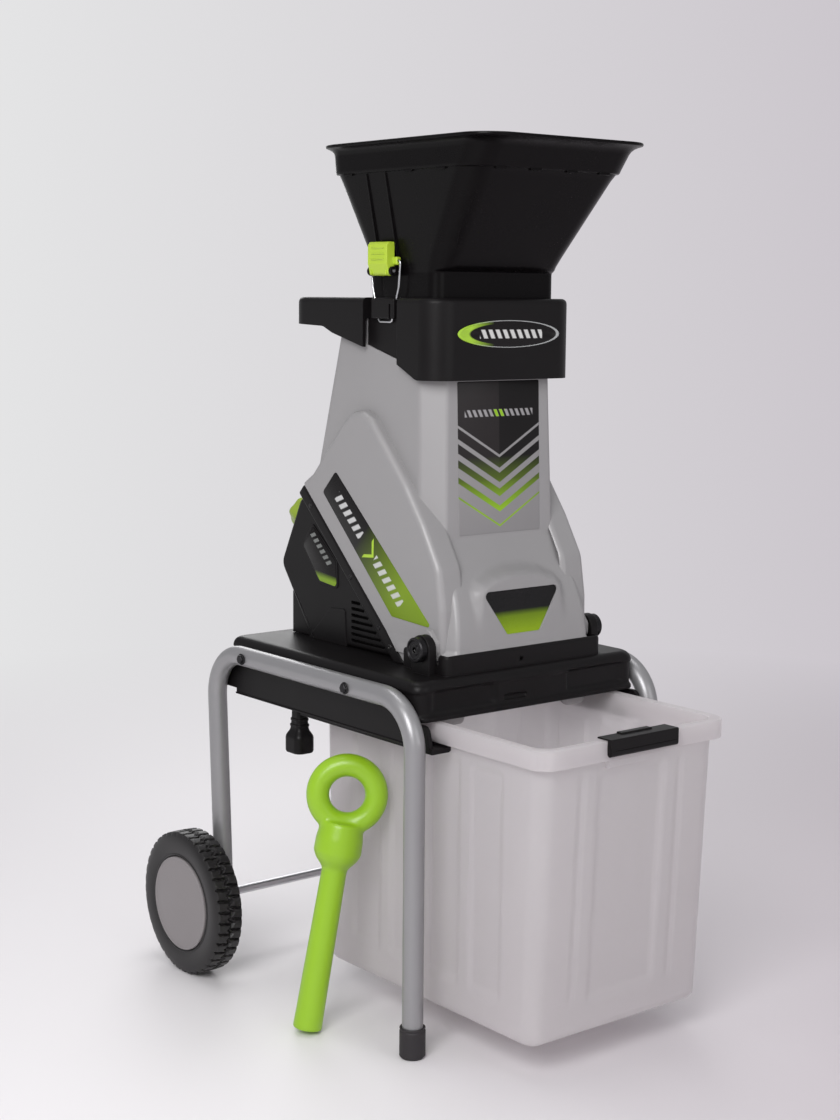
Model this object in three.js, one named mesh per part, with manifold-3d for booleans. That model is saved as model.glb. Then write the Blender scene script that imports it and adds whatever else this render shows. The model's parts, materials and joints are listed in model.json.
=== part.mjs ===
// Electric garden chipper on a wheeled tube stand, with a pull-out collection bin and a hand tamper.
// Millimetres, +Z up, the bin pulls out towards -Y. The origin is on the floor, midway between the
// two side frames in X and midway between the wheels' rear and the bin clip's front in Y.
import * as THREE from "three";
import { mergeVertices } from "three/addons/utils/BufferGeometryUtils.js";
import Module from "manifold-3d";

const wasm = await Module();
wasm.setup();

// ---------------------------------------------------------------- driving dimensions
const GAP = 0.3; // between pieces that meet
const STAND = { x: 202.5, frontY: -169, rearY: 277, barZ: 451, bend: 62, tube: 13.35 };
const WHEEL = { y: 263, r: 100, rim: 66, inner: 233, outer: 277 };
const AXLE = { r: 6, end: 268 };
const FOOT = { r: 16.5, height: 40, floor: 6 };
const BOLT = { r: 4, headR: 7.5, head: 5, frontY: -43, rearY: 194 };
const DECK = { x: 190, frontY: -153, bow: 5, rearY: 233, top: 472, lip: 421.5, skirt: 391, wall: 4 };
const PLINTH = { x: 134, frontY: -146, rearY: -52, top: 497, wall: 4 };
const HINGE = { y: -108, z: 503, lugIn: 118, lugOut: 133.6, earOut: 147, capOut: 157, pinR: 4 };
const SPLIT = { y: 66, z: 584.5, tilt: THREE.MathUtils.degToRad(43.5) };
const FLANGE = { x: 127, low: -160, high: 150, thick: 18 };
const MOTOR = { x: 112, wall: 4 };
const DISC = { r: 92, low: 4, high: 12 };
const SHELL_WALL = 4;
const SHELL_BOTTOM = 490;
const GABLE = { x: 126, wall: 4 };
const COLLAR = { x: 121, frontY: -100, rearY: 217, top: 941.5, ledge: 920, wall: 5 };
const NECK = { x: 103, frontY: -78, rearY: 62, bottom: 923.3 };
const BAND = { x: 134, frontY: -208, rearY: 120 };
const RIM = { x: 144, frontY: -218, rearY: 130, z: 1137 };
const LATCH = { pinX: 117, pinZ: 975, wireX: 111, wireZ: 988, barZ: 910.6, y0: -17, y1: 43, wire: 1.75 };
const BIN = { rimX: 160, rimFront: -355, rimRear: 110, rimLow: 394.5, rimTop: 419, floorZ: 42, wall: 3 };
const CLIP = { y: -359.3, z: 403.6, r: 3.6, half: 57.5, front: -363, rear: -338, top: 422 };
const RAIL = { inner: 154, web: 178.3, outer: 184.3, low: 386, ledge: 392, frontY: -180, rearY: 100 };
const KNOB = { x: -78, y: 221.5, z: 631, rise: THREE.MathUtils.degToRad(26.6), r: 26, length: 24 };
const SWITCH = { x0: -105, x1: -25, rearY: 232, top: 532, rockerX: -80, resetX: -45, z: 502 };
const TAMPER = { tip: [-261, -24, 1.5], ring: [-200, -27, 303], tubeR: 15, ringR: 38 };

// ---------------------------------------------------------------- materials
const finish = (color, roughness, metalness = 0, opacity = 1) =>
  new THREE.MeshStandardMaterial({ color, roughness, metalness, opacity, transparent: opacity < 1 });
const BLACK = finish(0x232122, 0.55);
const GLOSS_BLACK = finish(0x1a1919, 0.3);
const SILVER = finish(0xa3a1a2, 0.42, 0.15);
const TUBE_METAL = finish(0xb4b2b4, 0.35, 0.9);
const STEEL = finish(0xb9bcc0, 0.3, 1);
const DARK_STEEL = finish(0x2b2b2d, 0.45, 0.8);
const CAST = finish(0x55575a, 0.6, 0.8);
const COPPER = finish(0x9a5a34, 0.5, 0.6);
const LIME = finish(0x96c828, 0.4);
const LATCH_GREEN = finish(0xafd737, 0.4);
const RUBBER = finish(0x1c1b1b, 0.8);
const HUB_GREY = finish(0x827d7d, 0.5);
const MILKY = finish(0xe6e6ea, 0.35, 0, 0.6);

// ---------------------------------------------------------------- solid helpers
// A closed three.js geometry as a manifold solid.
function solid(geometry, matrix = new THREE.Matrix4()) {
  const bare = geometry.clone().applyMatrix4(matrix);
  bare.deleteAttribute("normal");
  bare.deleteAttribute("uv");
  const merged = mergeVertices(bare, 1e-3);
  const vertProperties = new Float32Array(merged.attributes.position.array);
  const triVerts = new Uint32Array(merged.index.array);
  return new wasm.Manifold(new wasm.Mesh({ numProp: 3, vertProperties, triVerts }));
}

// A manifold solid back as a flat-shaded three.js geometry.
function geometryOf(shape) {
  const mesh = shape.getMesh();
  const geometry = new THREE.BufferGeometry();
  geometry.setAttribute("position", new THREE.BufferAttribute(new Float32Array(mesh.vertProperties), 3));
  geometry.setIndex(new THREE.BufferAttribute(new Uint32Array(mesh.triVerts), 1));
  const flat = geometry.toNonIndexed();
  flat.computeVertexNormals();
  return flat;
}

const join = (...shapes) => shapes.reduce((sum, shape) => sum.add(shape));
const cut = (shape, ...tools) => tools.reduce((rest, tool) => rest.subtract(tool), shape);

// Axis frames: local x, y and z of an extrusion mapped to the part's axes.
const axes = (x, y, z) => new THREE.Matrix4().makeBasis(x, y, z);
const X = new THREE.Vector3(1, 0, 0);
const Y = new THREE.Vector3(0, 1, 0);
const Z = new THREE.Vector3(0, 0, 1);
const ALONG_X = axes(Y, Z, X);

function box(x0, x1, y0, y1, z0, z1) {
  const size = [Math.abs(x1 - x0), Math.abs(y1 - y0), Math.abs(z1 - z0)];
  const centre = [(x0 + x1) / 2, (y0 + y1) / 2, (z0 + z1) / 2];
  return solid(new THREE.BoxGeometry(...size).translate(...centre));
}

const outline = (points) => new THREE.Shape(points.map(([a, b]) => new THREE.Vector2(a, b)));

// A closed outline in the YZ plane, pulled from x0 to x1.
function prismX(shape, x0, x1) {
  const path = Array.isArray(shape) ? outline(shape) : shape;
  const low = Math.min(x0, x1);
  const geometry = new THREE.ExtrudeGeometry(path, { depth: Math.abs(x1 - x0), bevelEnabled: false });
  return solid(geometry.translate(0, 0, low), ALONG_X);
}

// A closed outline in the XY plane, pulled from z0 to z1.
function prismZ(shape, z0, z1, curveSegments = 6) {
  const path = Array.isArray(shape) ? outline(shape) : shape;
  const options = { depth: z1 - z0, bevelEnabled: false, curveSegments };
  return solid(new THREE.ExtrudeGeometry(path, options).translate(0, 0, z0));
}

// A round bar whose axis is "x", "y" or "z", from a to b along it.
function bar(axis, radius, a, b, at, segments = 24, endRadius = radius) {
  const geometry = new THREE.CylinderGeometry(endRadius, radius, Math.abs(b - a), segments);
  const middle = (a + b) / 2;
  if (axis === "x") geometry.rotateZ(-Math.PI / 2).translate(middle, at[0], at[1]);
  if (axis === "y") geometry.translate(at[0], middle, at[1]);
  if (axis === "z") geometry.rotateX(Math.PI / 2).translate(at[0], at[1], middle);
  return solid(geometry);
}

// A closed profile of [radius, height] pairs turned about the X axis; height runs towards +X.
function turnedX(profile, segments, at, side = 1) {
  const points = profile.map(([r, h]) => new THREE.Vector2(r, h));
  const geometry = new THREE.LatheGeometry(points, segments).rotateZ(-Math.PI / 2);
  if (side < 0) geometry.rotateY(Math.PI);
  return solid(geometry.translate(...at));
}

// A round tube or wire along a path of straight runs joined by arcs of the given radius.
function sweep(points, radius, bend, steps, segments) {
  const corners = points.map((p) => new THREE.Vector3(...p));
  const path = new THREE.CurvePath();
  let from = corners[0];
  for (let i = 1; i < corners.length - 1; i++) {
    const back = corners[i - 1].clone().sub(corners[i]).normalize();
    const ahead = corners[i + 1].clone().sub(corners[i]).normalize();
    const reach = bend / Math.tan(back.angleTo(ahead) / 2);
    const start = corners[i].clone().addScaledVector(back, reach);
    const stop = corners[i].clone().addScaledVector(ahead, reach);
    path.add(new THREE.LineCurve3(from, start));
    path.add(new THREE.QuadraticBezierCurve3(start, corners[i], stop));
    from = stop;
  }
  path.add(new THREE.LineCurve3(from, corners[corners.length - 1]));
  const section = new THREE.Shape();
  section.absarc(0, 0, radius, 0, 2 * Math.PI, false);
  const options = { steps, extrudePath: path, curveSegments: segments };
  return solid(new THREE.ExtrudeGeometry(section, options));
}

// A skin through rings of equal point count, closed by a flat cap at each end.
function loft(rings) {
  const count = rings[0].length;
  const cap = THREE.ShapeUtils.triangulateShape(rings[0].map(([x, y]) => new THREE.Vector2(x, y)), []);
  const index = [];
  for (let k = 0; k < rings.length - 1; k++) {
    for (let i = 0; i < count; i++) {
      const a = k * count + i;
      const b = k * count + ((i + 1) % count);
      index.push(a, b, b + count, a, b + count, a + count);
    }
  }
  const last = (rings.length - 1) * count;
  for (const [a, b, c] of cap) {
    index.push(a, c, b);
    index.push(last + a, last + b, last + c);
  }
  const geometry = new THREE.BufferGeometry();
  geometry.setAttribute("position", new THREE.BufferAttribute(new Float32Array(rings.flat(2)), 3));
  geometry.setIndex(index);
  return solid(geometry);
}

// A rounded rectangle at height z, counter-clockwise, with `steps` segments on each corner.
function roundRing(x, y0, y1, r, z, steps = 4) {
  const centres = [[x - r, y0 + r, -90], [x - r, y1 - r, 0], [-x + r, y1 - r, 90], [-x + r, y0 + r, 180]];
  return centres.flatMap(([cx, cy, start]) =>
    Array.from({ length: steps + 1 }, (_, i) => {
      const angle = THREE.MathUtils.degToRad(start + (90 * i) / steps);
      return [cx + r * Math.cos(angle), cy + r * Math.sin(angle), z];
    }),
  );
}

// Each point of an outline moved towards the outline's middle by a fixed distance.
function shrink(points, by) {
  const middle = [0, 1].map((k) => points.reduce((sum, p) => sum + p[k], 0) / points.length);
  return points.map(([a, b]) => {
    const reach = Math.hypot(middle[0] - a, middle[1] - b);
    return [a + ((middle[0] - a) * by) / reach, b + ((middle[1] - b) * by) / reach];
  });
}

// Everything above (or below) the inclined plane where the upper housing meets the lower one.
const splitMatrix = new THREE.Matrix4()
  .makeRotationX(SPLIT.tilt)
  .setPosition(0, SPLIT.y, SPLIT.z);
const inSplit = (shape) => shape.transform([...splitMatrix.elements]);
const aboveSplit = inSplit(box(-400, 400, -500, 500, GAP / 2, 900));
const belowSplit = inSplit(box(-400, 400, -500, 500, -900, -GAP / 2));

// ---------------------------------------------------------------- scene graph
const chipper = new THREE.Group();
const drive = new THREE.Group(); // rotor and motor parts: x across, y up the slope, z along the shaft
drive.position.set(0, SPLIT.y, SPLIT.z);
drive.rotation.x = SPLIT.tilt;
chipper.add(drive);

function add(name, shape, material, group = chipper) {
  const mesh = new THREE.Mesh(geometryOf(shape), material);
  mesh.name = name;
  group.add(mesh);
}

const SIDES = [["left", -1], ["right", 1]];

// ---------------------------------------------------------------- stand
// The rear leg leans a little forward, so that it meets the axle's centre line.
const legLean = (STAND.rearY - WHEEL.y) / (STAND.barZ - STAND.bend - WHEEL.r);
const legFootZ = 84;
const legFootY = WHEEL.y - legLean * (WHEEL.r - legFootZ);

function sideFrame(side) {
  const x = side * STAND.x;
  const tube = sweep(
    [[x, STAND.frontY, FOOT.floor + GAP], [x, STAND.frontY, STAND.barZ],
      [x, STAND.rearY + legLean * STAND.bend, STAND.barZ], [x, legFootY, legFootZ]],
    STAND.tube, STAND.bend, 36, 4,
  );
  const axleHole = bar("x", AXLE.r + GAP, x - 20, x + 20, [WHEEL.y, WHEEL.r]);
  const boltHoles = [BOLT.frontY, BOLT.rearY].map((y) =>
    bar("x", BOLT.r + GAP, x - 20, x + 20, [y, STAND.barZ], 12));
  return cut(tube, axleHole, ...boltHoles);
}

function foot(side) {
  const inner = STAND.tube + GAP;
  const profile = [[0, 0], [FOOT.r - 1.5, 0], [FOOT.r, 1.5], [FOOT.r, FOOT.height], [inner, FOOT.height],
    [inner, FOOT.floor], [0, FOOT.floor]];
  const points = profile.map(([r, z]) => new THREE.Vector2(r, z));
  const geometry = new THREE.LatheGeometry(points, 24).rotateX(Math.PI / 2);
  return solid(geometry.translate(side * STAND.x, STAND.frontY, 0));
}

function frameBolt(side, y) {
  const face = side * (STAND.x + STAND.tube + GAP);
  const shank = bar("x", BOLT.r, side * 176, face, [y, STAND.barZ], 12);
  const head = bar("x", BOLT.headR, face, face + side * BOLT.head, [y, STAND.barZ], 6);
  return join(shank, head);
}

for (const [name, side] of SIDES) {
  add("side_frame_" + name, sideFrame(side), TUBE_METAL);
  add("foot_" + name, foot(side), RUBBER);
  add("frame_bolt_" + name + "_front", frameBolt(side, BOLT.frontY), DARK_STEEL);
  add("frame_bolt_" + name + "_rear", frameBolt(side, BOLT.rearY), DARK_STEEL);
}
add("axle", bar("x", AXLE.r, -AXLE.end, AXLE.end, [WHEEL.y, WHEEL.r]), STEEL);

// ---------------------------------------------------------------- wheels
function tyre(side) {
  const w = WHEEL;
  const width = w.outer - w.inner;
  const bead = w.rim + GAP;
  const profile = [[bead, 2], [w.r - 12, 0], [w.r - 1.5, 4], [w.r, 8], [w.r, width - 8], [w.r - 1.5, width - 4],
    [w.r - 12, width], [bead, width - 3], [bead, 2]];
  return turnedX(profile, 48, [side * w.inner, w.y, w.r], side);
}

function hub(side) {
  const width = WHEEL.outer - WHEEL.inner;
  const bore = AXLE.r + 0.4;
  const profile = [[bore, -4], [16, -4], [18, 8], [WHEEL.rim - 4, 8], [WHEEL.rim, 4], [WHEEL.rim, width - 5],
    [WHEEL.rim - 4, width - 5], [WHEEL.rim - 5, 14], [18, 14], [16, width - 18], [bore, width - 18], [bore, -4]];
  return turnedX(profile, 24, [side * WHEEL.inner, WHEEL.y, WHEEL.r], side);
}

function hubCap(side) {
  const width = WHEEL.outer - WHEEL.inner;
  const r = WHEEL.rim - 0.6;
  const profile = [[0, width - 4.5], [r, width - 4.5], [r, width - 1.5], [r - 3, width + 1], [0, width + 3]];
  return turnedX(profile, 24, [side * WHEEL.inner, WHEEL.y, WHEEL.r], side);
}

function axleNut(side) {
  const x = side * WHEEL.inner;
  const seat = WHEEL.outer - WHEEL.inner - 18 + GAP;
  const nut = bar("x", 11, x + side * seat, x + side * (seat + 11), [WHEEL.y, WHEEL.r], 6);
  return cut(nut, bar("x", AXLE.r + 0.1, x, side * (AXLE.end + GAP), [WHEEL.y, WHEEL.r]));
}

for (const [name, side] of SIDES) {
  add("tyre_" + name, tyre(side), RUBBER);
  add("wheel_hub_" + name, hub(side), BLACK);
  add("hub_cap_" + name, hubCap(side), HUB_GREY);
  add("axle_nut_" + name, axleNut(side), STEEL);
}

// ---------------------------------------------------------------- deck, chute and bin rails
function deckPlan(inset) {
  const x = DECK.x - inset;
  const front = DECK.frontY + inset;
  const rear = DECK.rearY - inset;
  const r = 16;
  const shape = new THREE.Shape();
  shape.moveTo(x - 12, rear);
  shape.lineTo(-x + 12, rear);
  shape.quadraticCurveTo(-x, rear, -x, rear - 12);
  shape.lineTo(-x, front + r);
  shape.quadraticCurveTo(-x, front, -x + r, front - 4);
  shape.quadraticCurveTo(0, front - 2 * DECK.bow + 4, x - r, front - 4);
  shape.quadraticCurveTo(x, front, x, front + r);
  shape.lineTo(x, rear - 12);
  shape.quadraticCurveTo(x, rear, x - 12, rear);
  return shape;
}

function baseDeck() {
  const d = DECK;
  const layers = [[1.4, d.lip, 458], [0, 458, d.top - 12], [0.9, d.top - 13, d.top - 8],
    [3.2, d.top - 9, d.top - 4.4], [6.4, d.top - 6, d.top - 1.9], [11, d.top - 6, d.top]];
  const top = join(...layers.map(([inset, low, high]) => prismZ(deckPlan(inset), low, high, 5)));
  const hollow = join(prismZ(deckPlan(d.wall + 1.4), d.lip - 1, d.top - 11, 5),
    prismZ(deckPlan(d.wall + 6), d.top - 12, d.top - 5, 5));
  const skirts = SIDES.flatMap(([, s]) => [
    box(s * (d.x - 5.4), s * (d.x - 1.4), -128, d.rearY - 12, d.skirt, d.top - 13),
    box(s * (d.x - 5.4), s * (d.x - 1.4), d.rearY - 13, d.rearY + 29, d.skirt + 7.5, 440),
  ]);
  const apronFoot = box(-178, 178, d.frontY - 8, d.frontY + 4, d.lip, d.lip + 6);
  const p = PLINTH;
  const block = prismZ(outline(roundRing(p.x, p.frontY, p.rearY, 10, 0, 2)), d.top - 5, p.top);
  const well = box(-p.x + p.wall, p.x - p.wall, p.frontY + p.wall, p.rearY + 40, d.top - 1, p.top + 1);
  const outlet = box(-p.x + p.wall, p.x - p.wall, p.frontY + p.wall, -60, d.top - 20, p.top);
  const lugRoom = SIDES.map(([, s]) =>
    box(s * (HINGE.lugIn - 2), s * (HINGE.lugOut + GAP + 0.1), HINGE.y - 21, HINGE.y + 21, 484, 525));
  const ears = SIDES.map(([, s]) => {
    const ear = join(
      bar("x", 18, s * (HINGE.lugOut + 0.4), s * HINGE.earOut, [HINGE.y, HINGE.z]),
      box(s * (HINGE.lugOut + 0.4), s * HINGE.earOut, HINGE.y - 18, HINGE.y + 18, d.top - 2, HINGE.z),
    );
    return cut(ear, bar("x", HINGE.pinR + GAP, s * 100, s * 170, [HINGE.y, HINGE.z]));
  });
  const boltHoles = SIDES.flatMap(([, s]) => [BOLT.frontY, BOLT.rearY].map((y) =>
    bar("x", BOLT.r + GAP, s * 170, s * 200, [y, STAND.barZ], 12)));
  const shell = cut(top, hollow);
  const built = join(cut(join(shell, block), well, outlet), apronFoot, ...skirts);
  return cut(join(cut(built, ...lugRoom), ...ears), ...boltHoles);
}
add("base_deck", baseDeck(), BLACK);

function chipChute() {
  const ring = (inset, z) => roundRing(126 - inset, -138 + inset, -64 - inset, 6, z, 1);
  const outer = loft([ring(14, 434), ring(0, 466)]);
  const inner = loft([ring(17.4, 433.7), ring(2.8, 466.3)]);
  return cut(outer, inner);
}
add("chip_chute", chipChute(), BLACK);

function binRail(side) {
  const r = RAIL;
  const web = box(side * r.web, side * r.outer, r.frontY + 52, r.rearY, r.low, DECK.top - 12 - GAP);
  const nose = box(side * r.web, side * r.outer, r.frontY, r.frontY + 53, r.low, DECK.lip - 2);
  const ledge = box(side * r.inner, side * r.outer, r.frontY, r.rearY, r.low, r.ledge);
  const lip = box(side * r.inner, side * (r.inner + 2.5), r.frontY, r.rearY, r.low, r.ledge + 2);
  const boltHole = bar("x", BOLT.r + GAP, side * 170, side * 190, [BOLT.frontY, STAND.barZ], 12);
  return cut(join(web, nose, ledge, lip), boltHole);
}

for (const [name, side] of SIDES) {
  add("bin_rail_" + name, binRail(side), BLACK);
}

// ---------------------------------------------------------------- motor housing and cover
const CASE = [[-20, DECK.top + GAP], [165, 672], [204, 666], [252, 570], [179, DECK.top + GAP]];
const COVER = [[252, 570], [179, DECK.top + GAP], [173.5, DECK.top + GAP], [245.5, 568.6]];
const above = (z) => box(-400, 400, -500, 500, z, 1200);

const knobMatrix = new THREE.Matrix4()
  .makeRotationX(KNOB.rise)
  .setPosition(KNOB.x, KNOB.y, KNOB.z);
const onKnobAxis = (shape) => shape.transform([...knobMatrix.elements]);

function motorHousing() {
  const f = FLANGE;
  const flange = inSplit(box(-f.x, f.x, f.low, f.high, -f.thick, -GAP / 2));
  const body = prismX(CASE, -MOTOR.x, MOTOR.x);
  const bearingBoss = inSplit(bar("z", 24, -16, -3, [0, 0]));
  const knobBoss = onKnobAxis(bar("y", KNOB.r - 3, -2, 6, [0, 0]));
  const room = prismX(shrink(CASE, 6), -MOTOR.x + MOTOR.wall, MOTOR.x - MOTOR.wall);
  const underPlate = inSplit(box(-400, 400, -500, 500, -900, -6));
  const hollow = room.intersect(underPlate);
  const rimRoom = inSplit(box(-f.x + 5, f.x - 5, f.low + 5, f.high - 5, -f.thick - 1, -6));
  const clearOfWalls = prismX(shrink(CASE, 6), -f.x, f.x);
  const chips = inSplit(box(-84, 84, -150, -60, -30, 1));
  const shaftHole = inSplit(bar("z", 8, -40, 2, [0, 0]));
  const bearingSeat = inSplit(bar("z", 18 + GAP, -20, -5, [0, 0]));
  const coverRoom = prismX(shrink(COVER, -0.8), -MOTOR.x + MOTOR.wall - GAP, MOTOR.x - MOTOR.wall + GAP);
  const knobHole = onKnobAxis(bar("y", 5, -30, 20, [0, 0], 16));
  const casing = cut(join(flange, body).intersect(belowSplit).intersect(above(DECK.top + GAP)), hollow,
    rimRoom.intersect(clearOfWalls), chips, coverRoom);
  return cut(join(casing, bearingBoss, knobBoss), shaftHole, bearingSeat, knobHole);
}
add("motor_housing", motorHousing(), BLACK);
add("motor_rear_cover", prismX(shrink(COVER, 0), -MOTOR.x + MOTOR.wall, MOTOR.x - MOTOR.wall), BLACK);

// ---------------------------------------------------------------- motor, shaft and cutter, in the drive group
const SHAFT_R = 6;
const ring = (outer, inner, a, b, segments = 24) =>
  cut(bar("z", outer, a, b, [0, 0], segments), bar("z", inner, a - 1, b + 1, [0, 0]));

add("motor_stator", ring(45, 29, -98, -34), COPPER, drive);
add("bearing_upper", ring(18, SHAFT_R + 0.4, -16, -6), STEEL, drive);
add("bearing_lower", ring(15, SHAFT_R + 0.4, -111, -101), STEEL, drive);
add("rotor_core", ring(27, SHAFT_R + 0.2, -95, -37), CAST, drive);
add("rotor_shaft", bar("z", SHAFT_R, -112, 24, [0, 0]), STEEL, drive);

function coolingFan() {
  const blades = Array.from({ length: 8 }, (_, i) => {
    const fin = new THREE.BoxGeometry(24, 2, 8).translate(26, 0, -26);
    return solid(fin.rotateZ((Math.PI * i) / 4));
  });
  return cut(join(ring(38, SHAFT_R + 0.2, -32, -29.5), ring(15, SHAFT_R + 0.2, -32, -21), ...blades),
    bar("z", SHAFT_R + 0.2, -40, -10, [0, 0]));
}
add("cooling_fan", coolingFan(), GLOSS_BLACK, drive);

const BLADE = { inner: 22, outer: 88, half: 15, low: DISC.high + GAP, high: DISC.high + GAP + 5 };
const BLADE_HOLES = [38, 70];
const boltHole = (x) => bar("z", 3.2, DISC.low - 5, BLADE.high + 5, [x, 0], 12);

function cutterDisc() {
  const plate = cut(bar("z", DISC.r, DISC.low, DISC.high, [0, 0], 48), bar("z", SHAFT_R + 0.2, 0, 30, [0, 0]));
  const slots = [-1, 1].map((s) => box(s * 24, s * 84, s * 17, s * 27, DISC.low - 1, DISC.high + 1));
  const holes = BLADE_HOLES.flatMap((x) => [boltHole(x), boltHole(-x)]);
  return cut(plate, ...slots, ...holes);
}
add("cutter_disc", cutterDisc(), CAST, drive);

for (const [name, side] of [["a", 1], ["b", -1]]) {
  const b = BLADE;
  const edge = [[b.inner, -b.half], [b.outer, -b.half], [b.outer - 3, b.half], [b.inner, b.half]];
  const plate = prismZ(outline(edge.map(([x, y]) => [side * x, side * y])), b.low, b.high);
  add("blade_" + name, cut(plate, ...BLADE_HOLES.map((x) => boltHole(side * x))), STEEL, drive);
  BLADE_HOLES.forEach((x, i) => {
    const shank = bar("z", 2.9, DISC.low, b.high + GAP, [side * x, 0], 12);
    const head = bar("z", 6, b.high + GAP, b.high + 2, [side * x, 0], 6);
    add("blade_bolt_" + name + (i + 1), join(shank, head), DARK_STEEL, drive);
  });
}
const nut = cut(bar("z", 11, DISC.high + GAP, DISC.high + 9, [0, 0], 6), bar("z", SHAFT_R + 0.2, 0, 40, [0, 0]));
add("disc_nut", nut, DARK_STEEL, drive);

// ---------------------------------------------------------------- controls
function switchBox() {
  const s = SWITCH;
  const side = [[182, DECK.top + 0.6], [s.rearY, DECK.top + 0.6], [s.rearY, s.top], [226.5, s.top]];
  const inside = [[170, DECK.top + 4], [s.rearY - 3, DECK.top + 4], [s.rearY - 3, s.top - 3], [214, s.top - 3]];
  const window = box(s.rockerX - 11, s.rockerX + 11, s.rearY - 8, s.rearY + 2, s.z - 15.5, s.z + 15.5);
  const buttonHole = bar("y", 6.4, s.rearY - 8, s.rearY + 2, [s.resetX, s.z], 20);
  return cut(prismX(side, s.x0, s.x1), prismX(inside, s.x0 + 3, s.x1 - 3), window, buttonHole);
}
add("switch_box", switchBox(), BLACK);

function powerSwitch() {
  const { rockerX: x, rearY, z } = SWITCH;
  const pivotY = rearY - 8;
  const drum = bar("x", 14, x - 10, x + 10, [pivotY, z], 24);
  const dish = prismX([[pivotY + 8, z], [pivotY + 15, z - 15], [pivotY + 20, z], [pivotY + 15, z + 15]],
    x - 11, x + 11);
  return cut(drum, dish, box(x - 11, x + 11, pivotY - 20, pivotY - 4, z - 20, z + 20));
}
add("power_switch", powerSwitch(), GLOSS_BLACK);
const stem = bar("y", 6, SWITCH.rearY - 8, SWITCH.rearY + 5, [SWITCH.resetX, SWITCH.z], 20);
add("reset_button", stem, finish(0xb02a20, 0.45));

function lockKnob() {
  const start = 6 + GAP;
  const grip = bar("y", KNOB.r - 3, start, start + KNOB.length, [0, 0], 24, KNOB.r - 6);
  const lobes = Array.from({ length: 6 }, (_, i) => {
    const angle = (Math.PI * i) / 3;
    const at = [(KNOB.r - 6) * Math.cos(angle), (KNOB.r - 6) * Math.sin(angle)];
    return bar("y", 6, start, start + KNOB.length - 3, at, 12, 5);
  });
  const stud = bar("y", 4, -22, start + 5, [0, 0], 16);
  return onKnobAxis(join(grip, ...lobes, stud));
}
add("lock_knob", lockKnob(), LATCH_GREEN);

// ---------------------------------------------------------------- power lead
const LEAD = { x: -171, y: 121, top: 460, plugTop: 388, plugLow: 330 };
add("power_cord", bar("z", 4, LEAD.plugTop + GAP, LEAD.top, [LEAD.x, LEAD.y], 12), RUBBER);

function powerPlug() {
  const section = (x, y, z) =>
    roundRing(x, -y, y, x * 0.65, z, 3).map(([a, b, c]) => [a + LEAD.x, b + LEAD.y, c]);
  return loft([section(14.5, 17, LEAD.plugLow), section(15.5, 18, LEAD.plugLow + 2),
    section(15.5, 18, LEAD.plugLow + 22), section(10, 12, LEAD.plugLow + 31), section(8.5, 10, LEAD.plugTop)]);
}
add("power_plug", powerPlug(), BLACK);

// ---------------------------------------------------------------- upper housing: tower, badge, collar, hopper
// Plan of the tower at a height: front half-width and Y, side half-width and where the side starts, rear Y.
const TOWER = [
  [SHELL_BOTTOM, 112, -141, 128, -114, 243],
  [530, 109, -137, 124, -104, 231],
  [571, 104, -124, 118, -88, 220],
  [600, 98, -108, 115, -74, 212],
  [634, 91, -90, 112, -62, 203],
  [832, 86, -83, 110, -56, 150],
  [COLLAR.ledge - 6, 85, -80, 109, -52, 128],
];

function towerRings(inset, stretch = 0) {
  return TOWER.map(([z, wf, yf, ws, ys, yr], i) => {
    const last = i === TOWER.length - 1;
    const h = i === 0 ? z - stretch : last ? z + stretch : z;
    const [a, b, front, side, rear] = [wf - inset, ws - inset, yf + inset, ys + inset / 2, yr - inset];
    const half = [[a, front], [b, side], [b, rear - 22], [b - 22, rear]];
    const other = half.map(([x, y]) => [-x, y]).reverse();
    return [...half, ...other].map(([x, y]) => [x, y, h]);
  });
}

const GABLE_OUTLINE = [[-36, 488], [172, 688], [142, 697], [85, 772], [61, 788], [35, 783], [9, 762],
  [-54, 679], [-108, 597], [-118, 550], [-120, 495]];

// The trapezoid window in the front of the tower that frames the badge.
const badgePlan = (grow) => {
  const points = [[-28, 515], [28, 515], [67, 571], [-67, 571]];
  return shrink(points, -grow);
};
const ALONG_Y = axes(X, Z, Y.clone().negate());
function badgePrism(grow) {
  const geometry = new THREE.ExtrudeGeometry(outline(badgePlan(grow)), { depth: 60, bevelEnabled: false });
  return solid(geometry.translate(0, 0, 95), ALONG_Y);
}

function towerShell() {
  const skin = join(loft(towerRings(0)), prismX(GABLE_OUTLINE, -GABLE.x, GABLE.x));
  const inside = GABLE.x - GABLE.wall;
  const core = join(loft(towerRings(SHELL_WALL, 2)), prismX(shrink(GABLE_OUTLINE, 7), -inside, inside));
  const lugs = SIDES.map(([, s]) => {
    const arm = box(s * HINGE.lugIn, s * HINGE.lugOut, HINGE.y - 4, HINGE.y + 13, HINGE.z, HINGE.z + 34);
    return join(bar("x", 13, s * HINGE.lugIn, s * HINGE.lugOut, [HINGE.y, HINGE.z]), arm);
  });
  const pinHoles = SIDES.map(([, s]) => bar("x", HINGE.pinR + 0.4, s * 100, s * 170, [HINGE.y, HINGE.z]));
  const openBottom = inSplit(box(-GABLE.x + 4, GABLE.x - 4, FLANGE.low + 6, FLANGE.high - 8, -4, 8));
  const walls = cut(skin, core, openBottom.intersect(prismX(shrink(GABLE_OUTLINE, 7), -200, 200)));
  const trimmed = cut(walls.intersect(aboveSplit), badgePrism(0));
  return cut(join(trimmed, ...lugs), ...pinHoles);
}
add("tower_shell", towerShell(), SILVER);

const badgeLayer = cut(loft(towerRings(1.5)), loft(towerRings(SHELL_WALL + 0.5)));
add("front_badge", badgeLayer.intersect(badgePrism(-0.5)), LIME);

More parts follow.
